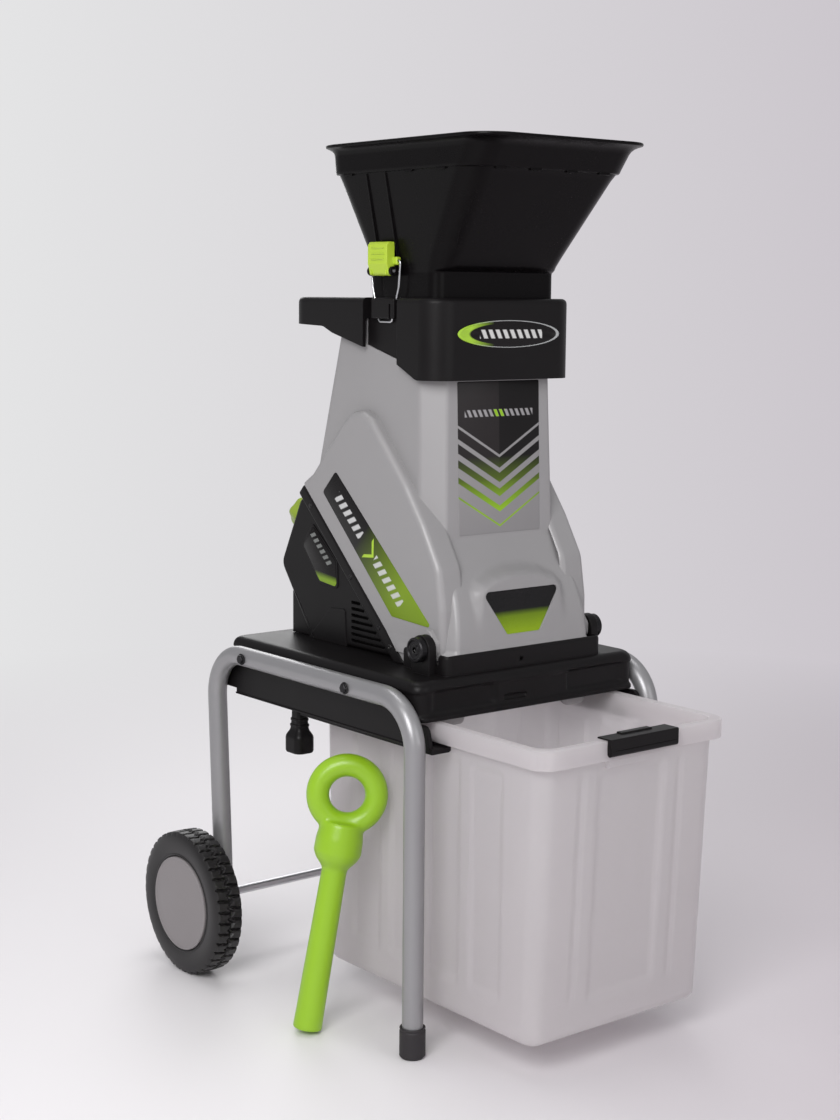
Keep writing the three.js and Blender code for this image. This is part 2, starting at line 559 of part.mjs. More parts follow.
for (const [name, side] of SIDES) {
  const pin = bar("x", HINGE.pinR, side * (HINGE.lugIn + 2), side * (HINGE.earOut + 2), [HINGE.y, HINGE.z]);
  const head = bar("x", 16, side * (HINGE.earOut + GAP), side * HINGE.capOut, [HINGE.y, HINGE.z]);
  const socket = bar("x", 4.5, side * (HINGE.capOut - 4), side * (HINGE.capOut + 2), [HINGE.y, HINGE.z], 6);
  add("hinge_pin_" + name, cut(join(pin, head), socket), DARK_STEEL);
}

function anvil() {
  const low = BLADE.high + 4;
  return inSplit(box(12, GABLE.x - GABLE.wall - 0.6, -13, 13, low, low + 8));
}
add("anvil", anvil(), STEEL);

function collar() {
  const c = COLLAR;
  const sideView = [[c.frontY, 838], [c.frontY, c.top], [c.rearY, c.top], [c.rearY, 905.5], [190, 905.5],
    [138, 903], [117, 894.5], [39, 875], [-16, 860], [-40, 849], [-56, 842]];
  const plan = prismZ(outline(roundRing(c.x, c.frontY, c.rearY, 34, 0, 4)), 800, 960);
  const block = prismX(sideView.reverse(), -c.x, c.x).intersect(plan);
  const towerRoom = loft(towerRings(-0.5, 6)).intersect(box(-400, 400, -500, 500, 0, c.ledge - 5));
  const inside = prismZ(outline(roundRing(c.x - c.wall, c.frontY + c.wall, 140, 28, 0, 4)), 800, c.ledge - 5);
  const hollow = inside.intersect(box(-400, 400, -500, 500, 0, c.ledge - 5));
  const seatPlan = outline(roundRing(NECK.x + 0.6, NECK.frontY - 0.6, NECK.rearY + 0.6, 16, 0, 4));
  const seat = prismZ(seatPlan, c.ledge + 3, 960);
  const throat = prismZ(outline(roundRing(NECK.x - 6, NECK.frontY + 6, NECK.rearY - 6, 12, 0, 4)), 800, 960);
  const handHole = prismZ(outline(roundRing(62, 148, 194, 16, 0, 4)), 880, 960);
  const channels = SIDES.map(([, s]) => box(s * 106, s * 130, LATCH.y0 - 6, LATCH.y1 + 6, 850, c.top + 2));
  const catches = SIDES.map(([, s]) => box(s * 105, s * 116, LATCH.y0 + 6, LATCH.y1 - 6, 914.3, c.top - 4));
  const lining = SIDES.map(([, s]) => box(s * 103.8, s * 106.5, LATCH.y0 - 12, LATCH.y1 + 12, 914.3, c.top));
  const body = cut(block, towerRoom, hollow, throat, seat, handHole, ...channels);
  return join(body, ...catches, ...lining);
}
add("collar", collar(), BLACK);

function hopper() {
  const n = NECK;
  const b = BAND;
  const r = RIM;
  const rings = (t, low, high) => [
    roundRing(n.x - t, n.frontY + t, n.rearY - t, 16 - t, low, 4),
    roundRing(n.x - t, n.frontY + t, n.rearY - t, 16 - t, 977, 4),
    roundRing(n.x + 2 - t, -90 + t, n.rearY + 3 - t, 22 - t, 984, 4),
    roundRing(129 - t, -180 + t, 114 - t, 34 - t, 1099, 4),
    roundRing(132 - t, -184 + t, 117 - t, 36 - t, 1102, 4),
    roundRing(b.x - t, b.frontY + t, b.rearY - t, 36 - t, high, 4),
  ];
  const lip = loft([
    roundRing(b.x - 1, b.frontY + 8, b.rearY - 1.5, 36, r.z - 13, 4),
    roundRing(b.x + 3, b.frontY, b.rearY + 3, 38, r.z - 7, 4),
    roundRing(r.x, r.frontY, r.rearY, 44, r.z - 3.5, 4),
    roundRing(r.x, r.frontY, r.rearY, 44, r.z, 4),
  ]);
  const lugs = SIDES.flatMap(([, s]) => [[-12, -7.3], [33.3, 38]].map(([y0, y1]) => {
    const eye = bar("y", 6, y0, y1, [s * LATCH.pinX, LATCH.pinZ], 16);
    const arm = box(s * (n.x - 1), s * LATCH.pinX, y0, y1, LATCH.pinZ - 6, LATCH.pinZ + 6);
    return join(eye, arm);
  }));
  const inside = loft(rings(3, n.bottom - 1, r.z + 1));
  const walls = cut(join(loft(rings(0, n.bottom, r.z)), lip, ...lugs), inside);
  const pinHoles = SIDES.map(([, s]) => bar("y", 2.3, -22, 48, [s * LATCH.pinX, LATCH.pinZ], 16));
  return cut(walls, ...pinHoles);
}
add("hopper", hopper(), GLOSS_BLACK);

// ---------------------------------------------------------------- over-centre latches
function latchLever(side) {
  const l = LATCH;
  const [y0, y1] = [-7, 33];
  const x = (d) => side * d;
  const pad = box(x(112), x(126), y0, y1, 983, 1012);
  const foot = join(bar("y", 6, y0, y1, [x(l.pinX), l.pinZ], 16), box(x(111.5), x(123), y0, y1, l.pinZ, 984));
  const ears = box(x(107), x(115), y0 - 7, y1 + 7, 983.5, 992.5);
  const pinHole = bar("y", 2.4, -24, 50, [x(l.pinX), l.pinZ], 16);
  const wireHole = bar("y", l.wire + 0.35, -24, 50, [x(l.wireX), l.wireZ], 16);
  return cut(join(pad, foot, ears), pinHole, wireHole);
}

function latchBail(side) {
  const l = LATCH;
  const x = side * l.wireX;
  const wire = (y) => [x, y, l.wireZ];
  const foot = (y) => [x, y, l.barZ];
  return sweep([wire(l.y0 + 8), wire(l.y0), foot(l.y0), foot(l.y1), wire(l.y1), wire(l.y1 - 8)],
    l.wire, 3.5, 40, 3);
}

for (const [name, side] of SIDES) {
  add("latch_lever_" + name, latchLever(side), LATCH_GREEN);
  add("latch_pin_" + name, bar("y", 2, -12, 38, [side * LATCH.pinX, LATCH.pinZ], 16), STEEL);
  add("latch_bail_" + name, latchBail(side), STEEL);
}

// ---------------------------------------------------------------- collection bin
function bin() {
  const b = BIN;
  const rings = (t, low, high) => [
    roundRing(139.5 - t, -319.5 + t, 82 - t, 16 - t, low, 4),
    roundRing(147.5 - t, -327.5 + t, 90 - t, 22 - t, low + 8, 4),
    roundRing(149.5 - t, -344.5 + t, 99.5 - t, 24 - t, high, 4),
  ];
  const rim = prismZ(outline(roundRing(b.rimX, b.rimFront, b.rimRear, 27, 0, 4)), b.rimLow, b.rimTop);
  const outer = loft(rings(0, b.floorZ, b.rimTop));
  const inner = loft(rings(b.wall, b.floorZ + b.wall, b.rimTop + 1));
  return cut(join(outer, rim), inner);
}
add("bin", bin(), MILKY);

function binClip() {
  const c = CLIP;
  const roller = bar("x", c.r, -c.half, c.half, [c.y, c.z], 20);
  const plate = box(-c.half, c.half, c.front, c.y + c.r, c.z, c.top);
  const flange = box(-c.half, c.half, c.front, c.rear, c.top - 2.4, c.top);
  const tab = box(-26, 26, c.rear - 10, c.rear, c.top - 1, c.top + 2);
  return join(roller, plate, flange, tab);
}
add("bin_clip", binClip(), BLACK);

// ---------------------------------------------------------------- tamper, leaning beside the bin
function tamper() {
  const [tip, eye] = [TAMPER.tip, TAMPER.ring].map((p) => new THREE.Vector3(...p));
  const up = eye.clone().sub(tip);
  const length = up.length();
  const reach = length - TAMPER.ringR;
  const profile = [[0, 0], [17.5, 0], [19, 2], [18.5, 30], [16.5, reach - 64], [18, reach - 58],
    [28, reach - 46], [32, reach - 38], [30, reach - 14], [26, reach + 2], [0, reach + 4]];
  const points = profile.map(([r, h]) => new THREE.Vector2(r, h));
  const rod = solid(new THREE.LatheGeometry(points, 18).rotateX(Math.PI / 2));
  const turn = new THREE.Matrix4().makeRotationZ(THREE.MathUtils.degToRad(-38));
  const loopGeometry = new THREE.TorusGeometry(TAMPER.ringR, TAMPER.tubeR, 8, 20).rotateX(Math.PI / 2);
  const loop = solid(loopGeometry.applyMatrix4(turn).translate(0, 0, length));
  const lean = new THREE.Quaternion().setFromUnitVectors(Z, up.normalize());
  const lowest = 19 * Math.sin(up.angleTo(Z));
  const pose = new THREE.Matrix4().makeRotationFromQuaternion(lean).setPosition(tip.x, tip.y, tip.z + lowest);
  return join(rod, loop).transform([...pose.elements]);
}
add("tamper", tamper(), LIME);

export default chipper;
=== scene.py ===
"""Finished looks of an electric garden chipper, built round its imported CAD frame.

Lengths are millimetres in the frame's axes: +Z up, and the bin pulls out towards -Y. make() turns
them into Blender's metres. Places come from the frame's own boxes through span().
"""
import json
import math

import bmesh
import bpy
import numpy as np
from mathutils import Matrix, Vector


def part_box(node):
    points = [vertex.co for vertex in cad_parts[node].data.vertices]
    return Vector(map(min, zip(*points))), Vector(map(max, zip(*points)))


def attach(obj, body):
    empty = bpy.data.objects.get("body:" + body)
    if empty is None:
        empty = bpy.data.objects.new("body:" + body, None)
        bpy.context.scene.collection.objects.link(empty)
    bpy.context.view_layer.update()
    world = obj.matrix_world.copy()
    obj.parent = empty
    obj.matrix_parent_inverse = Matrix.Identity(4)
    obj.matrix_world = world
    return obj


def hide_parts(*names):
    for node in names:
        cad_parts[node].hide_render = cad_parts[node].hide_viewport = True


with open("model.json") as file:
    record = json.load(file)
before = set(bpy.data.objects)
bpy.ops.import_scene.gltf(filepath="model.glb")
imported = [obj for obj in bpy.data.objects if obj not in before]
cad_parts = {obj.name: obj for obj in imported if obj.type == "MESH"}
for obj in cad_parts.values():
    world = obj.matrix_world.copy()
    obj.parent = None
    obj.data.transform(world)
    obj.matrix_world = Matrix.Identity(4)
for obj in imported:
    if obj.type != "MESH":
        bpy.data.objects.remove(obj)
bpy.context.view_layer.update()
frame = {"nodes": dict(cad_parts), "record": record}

MM = 0.001
SIDES = (("left", -1), ("right", 1))
BODY = {node: body for body, nodes in frame["record"]["behaviour"]["bodies"].items() for node in nodes}
PLACE = {
    "x": lambda a, b, h: (h, a, b),
    "y": lambda a, b, h: (a, h, b),
    "z": lambda a, b, h: (a, b, h),
}


# ---------------------------------------------------------------- measuring and curves
def span(node):
    """A CAD node's lowest and highest corners in millimetres."""
    low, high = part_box(node)
    return np.array(low) / MM, np.array(high) / MM


def turned_part(node):
    """A node round about an X axis: a point of the axis, its radius, and its inner and outer |x|."""
    low, high = span(node)
    at = (0, (low[1] + high[1]) / 2, (low[2] + high[2]) / 2)
    inner, outer = sorted((abs(low[0]), abs(high[0])))
    return at, (high[2] - low[2]) / 2, inner, outer


def mirrored(side, a, b):
    """The range from a to b, measured outwards on one side, as low and high x."""
    return tuple(sorted((side * a, side * b)))


def angles(count):
    """Equal steps of a full turn."""
    return [2 * math.pi * k / count for k in range(count)]


def smooth(value, start, stop):
    """0 before start, 1 after stop, eased in between; start may be the larger one."""
    t = np.clip((np.asarray(value, float) - start) / (stop - start), 0, 1)
    return t * t * (3 - 2 * t)


def fillet(points, radius, steps=6, closed=True):
    """Corner points with each corner turned into an arc; radius is one number or one per corner."""
    points = [np.asarray(p, float) for p in points]
    radii = radius if isinstance(radius, (list, tuple)) else [radius] * len(points)
    out = []
    for i, corner in enumerate(points):
        back = points[i - 1] - corner
        ahead = points[(i + 1) % len(points)] - corner
        back_length = np.linalg.norm(back)
        ahead_length = np.linalg.norm(ahead)
        end = not closed and i in (0, len(points) - 1)
        if end or radii[i] == 0:
            out.append(corner)
            continue
        back /= back_length
        ahead /= ahead_length
        half = math.acos(np.clip(back @ ahead, -1, 1)) / 2
        turn = math.pi - 2 * half
        if turn < 0.02:
            out.append(corner)
            continue
        reach = min(radii[i] / math.tan(half), 0.49 * back_length, 0.49 * ahead_length)
        r = reach * math.tan(half)
        toward = (back + ahead) / np.linalg.norm(back + ahead)
        centre = corner + toward * (r / math.sin(half))
        first = corner + back * reach - centre
        last = corner + ahead * reach - centre
        for k in range(steps + 1):
            t = k / steps
            swing = (math.sin((1 - t) * turn) * first + math.sin(t * turn) * last) / math.sin(turn)
            out.append(centre + swing)
    return out


def divided(points, counts):
    """A closed run of points with counts[i] extra points after point i."""
    out = []
    for i, point in enumerate(points):
        after = points[(i + 1) % len(points)]
        extra = counts.get(i, 0)
        out += [point + (after - point) * k / (extra + 1) for k in range(extra + 1)]
    return out


def round_ring(x, y0, y1, r, z, steps=8, along_x=0, along_y=0):
    """A rounded rectangle at height z, counter-clockwise from its front right corner."""
    corners = [np.array(p, float) for p in ((x, y0, z), (x, y1, z), (-x, y1, z), (-x, y0, z))]
    points = fillet(corners, r, steps)
    stops = [(steps + 1) * (k + 1) - 1 for k in range(4)]
    return divided(points, dict(zip(stops, (along_y, along_x, along_y, along_x))))


def inside_by(points, a, b):
    """How far each (a, b) lies inside a closed outline; negative outside."""
    best = np.full(a.shape, 1e9)
    inside = np.zeros(a.shape, bool)
    for (a0, b0), (a1, b1) in zip(points, points[1:] + points[:1]):
        run = (a1 - a0) ** 2 + (b1 - b0) ** 2
        t = np.clip(((a - a0) * (a1 - a0) + (b - b0) * (b1 - b0)) / run, 0, 1)
        best = np.minimum(best, np.hypot(a - a0 - t * (a1 - a0), b - b0 - t * (b1 - b0)))
        rise = b1 - b0 if b1 != b0 else 1e-9
        inside ^= ((b0 > b) != (b1 > b)) & (a < a0 + (b - b0) * (a1 - a0) / rise)
    return np.where(inside, best, -best)


# ---------------------------------------------------------------- mesh making
def settle(obj, sharp=32, normals=True):
    """Merges doubled points, turns normals outwards and marks the sharp edges."""
    bm = bmesh.new()
    bm.from_mesh(obj.data)
    bmesh.ops.remove_doubles(bm, verts=bm.verts, dist=2e-6)
    if normals:
        bmesh.ops.recalc_face_normals(bm, faces=bm.faces)
    limit = math.radians(sharp)
    for face in bm.faces:
        face.smooth = True
    for edge in bm.edges:
        edge.smooth = len(edge.link_faces) == 2 and edge.calc_face_angle(0) < limit
    bm.to_mesh(obj.data)
    bm.free()
    return obj


def make(name, points, faces, sharp=32, normals=True):
    """A mesh object from points in millimetres."""
    mesh = bpy.data.meshes.new(name)
    mesh.from_pydata((np.array(points, float) * MM).tolist(), [], faces)
    obj = bpy.data.objects.new(name, mesh)
    bpy.context.scene.collection.objects.link(obj)
    return settle(obj, sharp, normals)


def bake(obj, sharp=32):
    """Applies the modifiers."""
    graph = bpy.context.evaluated_depsgraph_get()
    mesh = bpy.data.meshes.new_from_object(obj.evaluated_get(graph))
    obj.modifiers.clear()
    obj.data = mesh
    return settle(obj, sharp)


def combine(obj, others, operation):
    """Joins (UNION) or cuts (DIFFERENCE) closed pieces; the others are used up."""
    for other in others:
        step = obj.modifiers.new("step", "BOOLEAN")
        step.operation = operation
        step.solver = "EXACT"
        step.object = other
    bake(obj)
    for other in others:
        bpy.data.objects.remove(other)
    return obj


def join(obj, *others):
    return combine(obj, others, "UNION")


def cut(obj, *others):
    return combine(obj, others, "DIFFERENCE")


def round_edges(obj, width, segments=3, angle=35):
    """Rounds every edge sharper than the angle."""
    step = obj.modifiers.new("round", "BEVEL")
    step.width = width * MM
    step.segments = segments
    step.limit_method = "ANGLE"
    step.angle_limit = math.radians(angle)
    return bake(obj, 40)


def skin(rings, loop=False, caps=True):
    """Points and faces of a skin through rings of equal point count."""
    count = len(rings[0])
    total = len(rings)
    faces = []
    for k in range(total if loop else total - 1):
        a, b = k * count, (k + 1) % total * count
        faces += [(a + i, a + (i + 1) % count, b + (i + 1) % count, b + i) for i in range(count)]
    if caps and not loop:
        faces.append(tuple(range(count)))
        faces.append(tuple(range((total - 1) * count, total * count)))
    return [point for ring in rings for point in ring], faces


def loft(name, rings, loop=False, caps=True, sharp=32, normals=True):
    return make(name, *skin(rings, loop, caps), sharp, normals)


def prism(name, outline, axis, low, high):
    """A flat outline pulled along an axis."""
    rings = [[PLACE[axis](a, b, h) for a, b in outline] for h in (low, high)]
    return loft(name, rings)


def block(name, x, y, z, r=0, segments=3):
    """A box from (low, high) pairs, with rounded edges."""
    outline = [(x[0], y[0]), (x[1], y[0]), (x[1], y[1]), (x[0], y[1])]
    obj = prism(name, outline, "z", *z)
    return round_edges(obj, r, segments) if r else obj


def lathe(name, profile, axis, at, segments=64, side=1, sharp=32):
    """(radius, height) pairs turned about an axis through at; the profile closes on the axis or on itself."""
    loop = profile[0][0] > 0
    rings = []
    for r, h in profile:
        ring = []
        for angle in angles(segments):
            a, b = r * math.cos(angle), r * math.sin(angle)
            ring.append(np.array(PLACE[axis](a, b, side * h)) + at)
        rings.append(ring)
    return loft(name, rings, loop=loop, caps=False, sharp=sharp)


def rounded_profile(profile, r, steps=4):
    """A lathe profile with its corners rounded, apart from points on the axis."""
    on_axis = profile[0][0] == 0
    return [tuple(p) for p in fillet(profile, r, steps, closed=not on_axis)]


def sweep(name, path, radius, segments=24, wall=0, sharp=32):
    """A round bar along a path, or a tube if it has a wall."""
    path = [np.asarray(p, float) for p in path]
    tangents = []
    for i in range(len(path)):
        run = path[min(i + 1, len(path) - 1)] - path[max(i - 1, 0)]
        tangents.append(run / np.linalg.norm(run))
    across = np.cross(tangents[0], (1, 0, 0))
    if np.linalg.norm(across) < 0.1:
        across = np.cross(tangents[0], (0, 1, 0))
    frames = []
    for tangent in tangents:
        across = across - tangent * (across @ tangent)
        across /= np.linalg.norm(across)
        frames.append((across, np.cross(tangent, across)))

    def ring(i, r):
        a, b = frames[i]
        return [path[i] + a * (r * math.cos(t)) + b * (r * math.sin(t)) for t in angles(segments)]

    rings = [ring(i, radius) for i in range(len(path))]
    if wall:
        rings += [ring(i, radius - wall) for i in reversed(range(len(path)))]
    return loft(name, rings, loop=bool(wall), sharp=sharp)


def moved(obj, matrix):
    """obj with its mesh carried by a matrix given in millimetres."""
    scaled = matrix.copy()
    scaled.translation = matrix.translation * MM
    obj.data.transform(scaled)
    return obj


# ---------------------------------------------------------------- materials
def srgb(r, g, b):
    """A colour from its 0 to 255 display values."""
    channels = [c / 255 for c in (r, g, b)]
    return tuple(c / 12.92 if c <= 0.04045 else ((c + 0.055) / 1.055) ** 2.4 for c in channels) + (1.0,)


def scaled(colour, by):
    return tuple(c * by for c in colour[:3]) + (1.0,)


class Nodes:
    """A node tree that is built step by step."""

    def __init__(self, tree):
        self.tree = tree

    def feed(self, node, key, value):
        if isinstance(value, bpy.types.NodeSocket):
            self.tree.links.new(value, node.inputs[key])
        else:
            node.inputs[key].default_value = value

    def add(self, kind, inputs=None, **settings):
        node = self.tree.nodes.new(kind)
        for key, value in settings.items():
            setattr(node, key, value)
        for key, value in (inputs or {}).items():
            self.feed(node, key, value)
        return node

    def mix(self, share, a, b):
        """A colour between a and b."""
        return self.add("ShaderNodeMix", {0: share, 6: a, 7: b}, data_type="RGBA").outputs[2]


class Paint(Nodes):
    """A material with a Principled shader."""

    def __init__(self, name):
        self.material = bpy.data.materials.new(name)
        self.material.use_nodes = True
        super().__init__(self.material.node_tree)
        self.shader = self.tree.nodes["Principled BSDF"]
        self.place = self.add("ShaderNodeTexCoord").outputs["Object"]

    def math(self, operation, a, b=0.0, c=0.0):
        return self.add("ShaderNodeMath", {0: a, 1: b, 2: c}, operation=operation).outputs[0]

    def noise(self, size, detail=3.0, stretch=(1, 1, 1)):
        """0 to 1 noise whose features are about `size` millimetres wide."""
        place = self.place
        if stretch != (1, 1, 1):
            place = self.add("ShaderNodeVectorMath", {0: place, 1: stretch}, operation="MULTIPLY").outputs[0]
        inputs = {"Vector": place, "Scale": 1 / (size * MM), "Detail": detail}
        return self.add("ShaderNodeTexNoise", inputs).outputs["Fac"]

    def ramp(self, value, start, stop, low=0.0, high=1.0):
        inputs = {"Value": value, "From Min": start, "From Max": stop, "To Min": low, "To Max": high}
        return self.add("ShaderNodeMapRange", inputs).outputs[0]

    def axes(self):
        """x, y and z in millimetres."""
        parts = self.add("ShaderNodeSeparateXYZ", {0: self.place}).outputs
        return [self.math("DIVIDE", part, MM) for part in parts]

    def finish(self, colour, roughness, metallic=0.0, grain=0.9, bump=0.12, mottle=0.05, wear=0.25,
               worn=None, coat=0.0, specular=0.5, stretch=(1, 1, 1)):
        """Fine moulded grain, broad colour and gloss variation, and rubbed edges."""
        broad = self.noise(70, 4.0, stretch)
        fine = self.noise(grain, 2.0, stretch)
        plain = colour
        if not isinstance(colour, bpy.types.NodeSocket):
            plain = self.mix(broad, scaled(colour, 1 - mottle), scaled(colour, 1 + mottle))
        normal = self.add("ShaderNodeBevel", {"Radius": 1.0 * MM}, samples=4).outputs[0]
        flat = self.add("ShaderNodeNewGeometry").outputs["Normal"]
        facing = self.add("ShaderNodeVectorMath", {0: normal, 1: flat},
                          operation="DOT_PRODUCT").outputs["Value"]
        patchy = self.ramp(self.noise(14), 0.42, 0.62, 0.0, wear)
        rubbed = self.math("MULTIPLY", self.ramp(facing, 0.99, 0.86), patchy)
        self.feed(self.shader, "Base Color", self.mix(rubbed, plain, worn or srgb(150, 148, 146)))
        uneven = self.math("SUBTRACT", self.math("MULTIPLY_ADD", broad, 0.16, roughness - 0.08), 0.04)
        self.feed(self.shader, "Roughness", self.math("MULTIPLY_ADD", fine, 0.08, uneven))
        self.feed(self.shader, "Metallic", metallic)
        self.feed(self.shader, "Specular IOR Level", specular)
        self.feed(self.shader, "Coat Weight", coat)
        height = {"Strength": bump, "Distance": 0.3 * MM, "Height": fine, "Normal": normal}
        self.feed(self.shader, "Normal", self.add("ShaderNodeBump", height).outputs[0])
        return self.material


def plastics():
    """The materials that need no pattern of their own, by record slot."""
    made = {}
    made["frame_tube"] = Paint("satin_silver_paint").finish(
        srgb(150, 149, 151), 0.36, metallic=0.5, grain=0.7, bump=0.05, mottle=0.03, wear=0.15, coat=0.15)
    made["rubber"] = Paint("black_rubber").finish(
        srgb(36, 32, 35), 0.6, grain=0.6, bump=0.2, mottle=0.12, wear=0.2, worn=srgb(90, 88, 86))
    made["dark_steel"] = Paint("black_oxide_steel").finish(
        srgb(40, 39, 41), 0.38, metallic=0.8, grain=0.5, bump=0.08, mottle=0.1, wear=0.5)
    made["steel"] = Paint("bright_steel").finish(
        srgb(205, 205, 208), 0.28, metallic=1.0, grain=0.5, bump=0.06, mottle=0.06, wear=0.1,
        stretch=(0.1, 1, 1))
    made["black_plastic"] = Paint("black_moulding").finish(
        srgb(19, 17, 18), 0.4, grain=0.8, bump=0.14, mottle=0.1, wear=0.18, worn=srgb(60, 57, 59),
        specular=0.16)
    made["gloss_black"] = Paint("gloss_black_moulding").finish(
        srgb(11, 9, 10), 0.28, grain=1.2, bump=0.05, mottle=0.12, wear=0.16, worn=srgb(60, 58, 60),
        specular=0.09)
    made["winding"] = Paint("copper_winding").finish(
        srgb(176, 98, 58), 0.35, metallic=0.8, grain=0.8, bump=0.6, mottle=0.2, wear=0.0, stretch=(1, 1, 6))
    made["tyre"] = Paint("tyre_moulding").finish(
        srgb(24, 22, 23), 0.42, grain=0.9, bump=0.2, mottle=0.15, wear=0.3, worn=srgb(92, 89, 88))
    made["hub_grey"] = Paint("grey_cap").finish(
        srgb(134, 129, 130), 0.42, grain=0.7, bump=0.1, mottle=0.03, wear=0.3, worn=srgb(190, 188, 188))
    made["silver_plastic"] = Paint("silver_moulding").finish(
        srgb(151, 149, 150), 0.42, metallic=0.12, grain=0.6, bump=0.06, mottle=0.025, wear=0.2,
        worn=srgb(190, 188, 190), coat=0.06)
    made["latch_green"] = Paint("latch_green").finish(
        srgb(176, 202, 54), 0.38, grain=0.7, bump=0.08, mottle=0.04, wear=0.3, worn=srgb(222, 240, 130))
    made["cast_metal"] = Paint("machined_casting").finish(
        srgb(128, 130, 133), 0.42, metallic=0.9, grain=0.9, bump=0.3, mottle=0.12, wear=0.5,
        worn=srgb(200, 200, 202))
    made["red_button"] = Paint("red_button").finish(
        srgb(176, 34, 28), 0.35, grain=0.6, bump=0.06, mottle=0.05, wear=0.2, worn=srgb(220, 120, 110))
    made["lime_plastic"] = Paint("lime_moulding").finish(
        srgb(146, 190, 34), 0.36, grain=1.1, bump=0.08, mottle=0.035, wear=0.15, worn=srgb(196, 228, 110),
        coat=0.08)
    made["bin_plastic"] = milky_plastic()
    made["badge"] = badge_finish()
    return made


def milky_plastic():
    """Translucent polypropylene: a satin skin over light that passes through and scatters."""
    p = Paint("milky_polypropylene")
    p.finish(srgb(232, 229, 231), 0.34, grain=0.9, bump=0.05, mottle=0.02, wear=0.1, worn=srgb(240, 238, 238))
    glow = p.add("ShaderNodeBsdfTranslucent", {"Color": srgb(248, 246, 246)}).outputs[0]
    clear = p.add("ShaderNodeBsdfTransparent", {"Color": srgb(243, 241, 242)}).outputs[0]
    body = p.add("ShaderNodeMixShader", {0: 0.6, 1: p.shader.outputs[0], 2: glow}).outputs[0]
    mixed = p.add("ShaderNodeMixShader", {0: 0.34, 1: body, 2: clear}).outputs[0]
    p.feed(p.tree.nodes["Material Output"], "Surface", mixed)
    return p.material


def stripe(p, value, low, high, soft=0.5):
    """1 between low and high."""
    rise = p.ramp(value, low - soft, low + soft)
    fall = p.ramp(value, high - soft, high + soft)
    return p.math("SUBTRACT", rise, fall)


def slanted_bars(p, along, across, start, stop, half, pitch=9.0):
    """A row of slanted dashes between start and stop, `half` to each side of across = 0."""
    phase = p.math("FRACT", p.math("DIVIDE", p.math("MULTIPLY_ADD", across, 0.5, along), pitch))
    dash = stripe(p, phase, 0.2, 0.75, 0.06)
    band = stripe(p, across, -half, half, 0.4)
    return p.math("MULTIPLY", p.math("MULTIPLY", dash, band), stripe(p, along, start, stop, 0.4))


LIME = srgb(142, 186, 40)
DEEP_BLACK = srgb(16, 13, 14)
MARK_MIDDLE = (152, 600)
SOFT_BLACK = srgb(36, 32, 33)


def badge_finish():
    """Black that turns to lime in the lowest third."""
    p = Paint("badge_fade")
    _, _, z = p.axes()
    low, high = span("front_badge")
    height = high[2] - low[2]
    share = p.ramp(z, low[2] + 0.52 * height, low[2] + 0.38 * height)
    lime = p.mix(p.ramp(z, low[2] + 0.4 * height, low[2]), srgb(104, 130, 24), srgb(138, 166, 30))
    return p.finish(p.mix(share, srgb(24, 23, 24), lime), 0.28, grain=0.8, bump=0.04, wear=0.1, specular=0.2)


def front_stripe_finish(top, tip):
    """A black panel that breaks up downwards into V stripes, which turn from black to lime."""
    p = Paint("front_stripes")
    x, _, z = p.axes()
    fall = p.math("SUBTRACT", z, p.math("MULTIPLY", p.math("ABSOLUTE", x), 0.575))
    field = p.ramp(fall, tip + 93.4, tip + 94.2)
    for low, high in ((76.5, 90.2), (57.8, 70.2), (39.5, 49.5), (19.5, 27.5), (0.0, 2.6)):
        field = p.math("MAXIMUM", field, stripe(p, fall, tip + low, tip + high, 0.4))
    tone = p.mix(p.ramp(x, -0.4, 0.4), SOFT_BLACK, DEEP_BLACK)
    olive = p.mix(p.ramp(z, tip + 92, tip + 58), tone, srgb(84, 104, 30))
    ink = p.mix(p.ramp(z, tip + 62, tip + 24), olive, LIME)
    plate = p.mix(field, srgb(143, 141, 142), ink)
    row = p.math("SUBTRACT", z, top - 41)
    marks = slanted_bars(p, x, row, -58, 58, 4.5)
    accent = p.math("MULTIPLY", marks, stripe(p, x, -10, 10, 0.4))
    plate = p.mix(marks, plate, srgb(150, 148, 150))
    plate = p.mix(accent, plate, LIME)
    return p.finish(plate, 0.36, grain=0.6, bump=0.05, wear=0.0, specular=0.25)


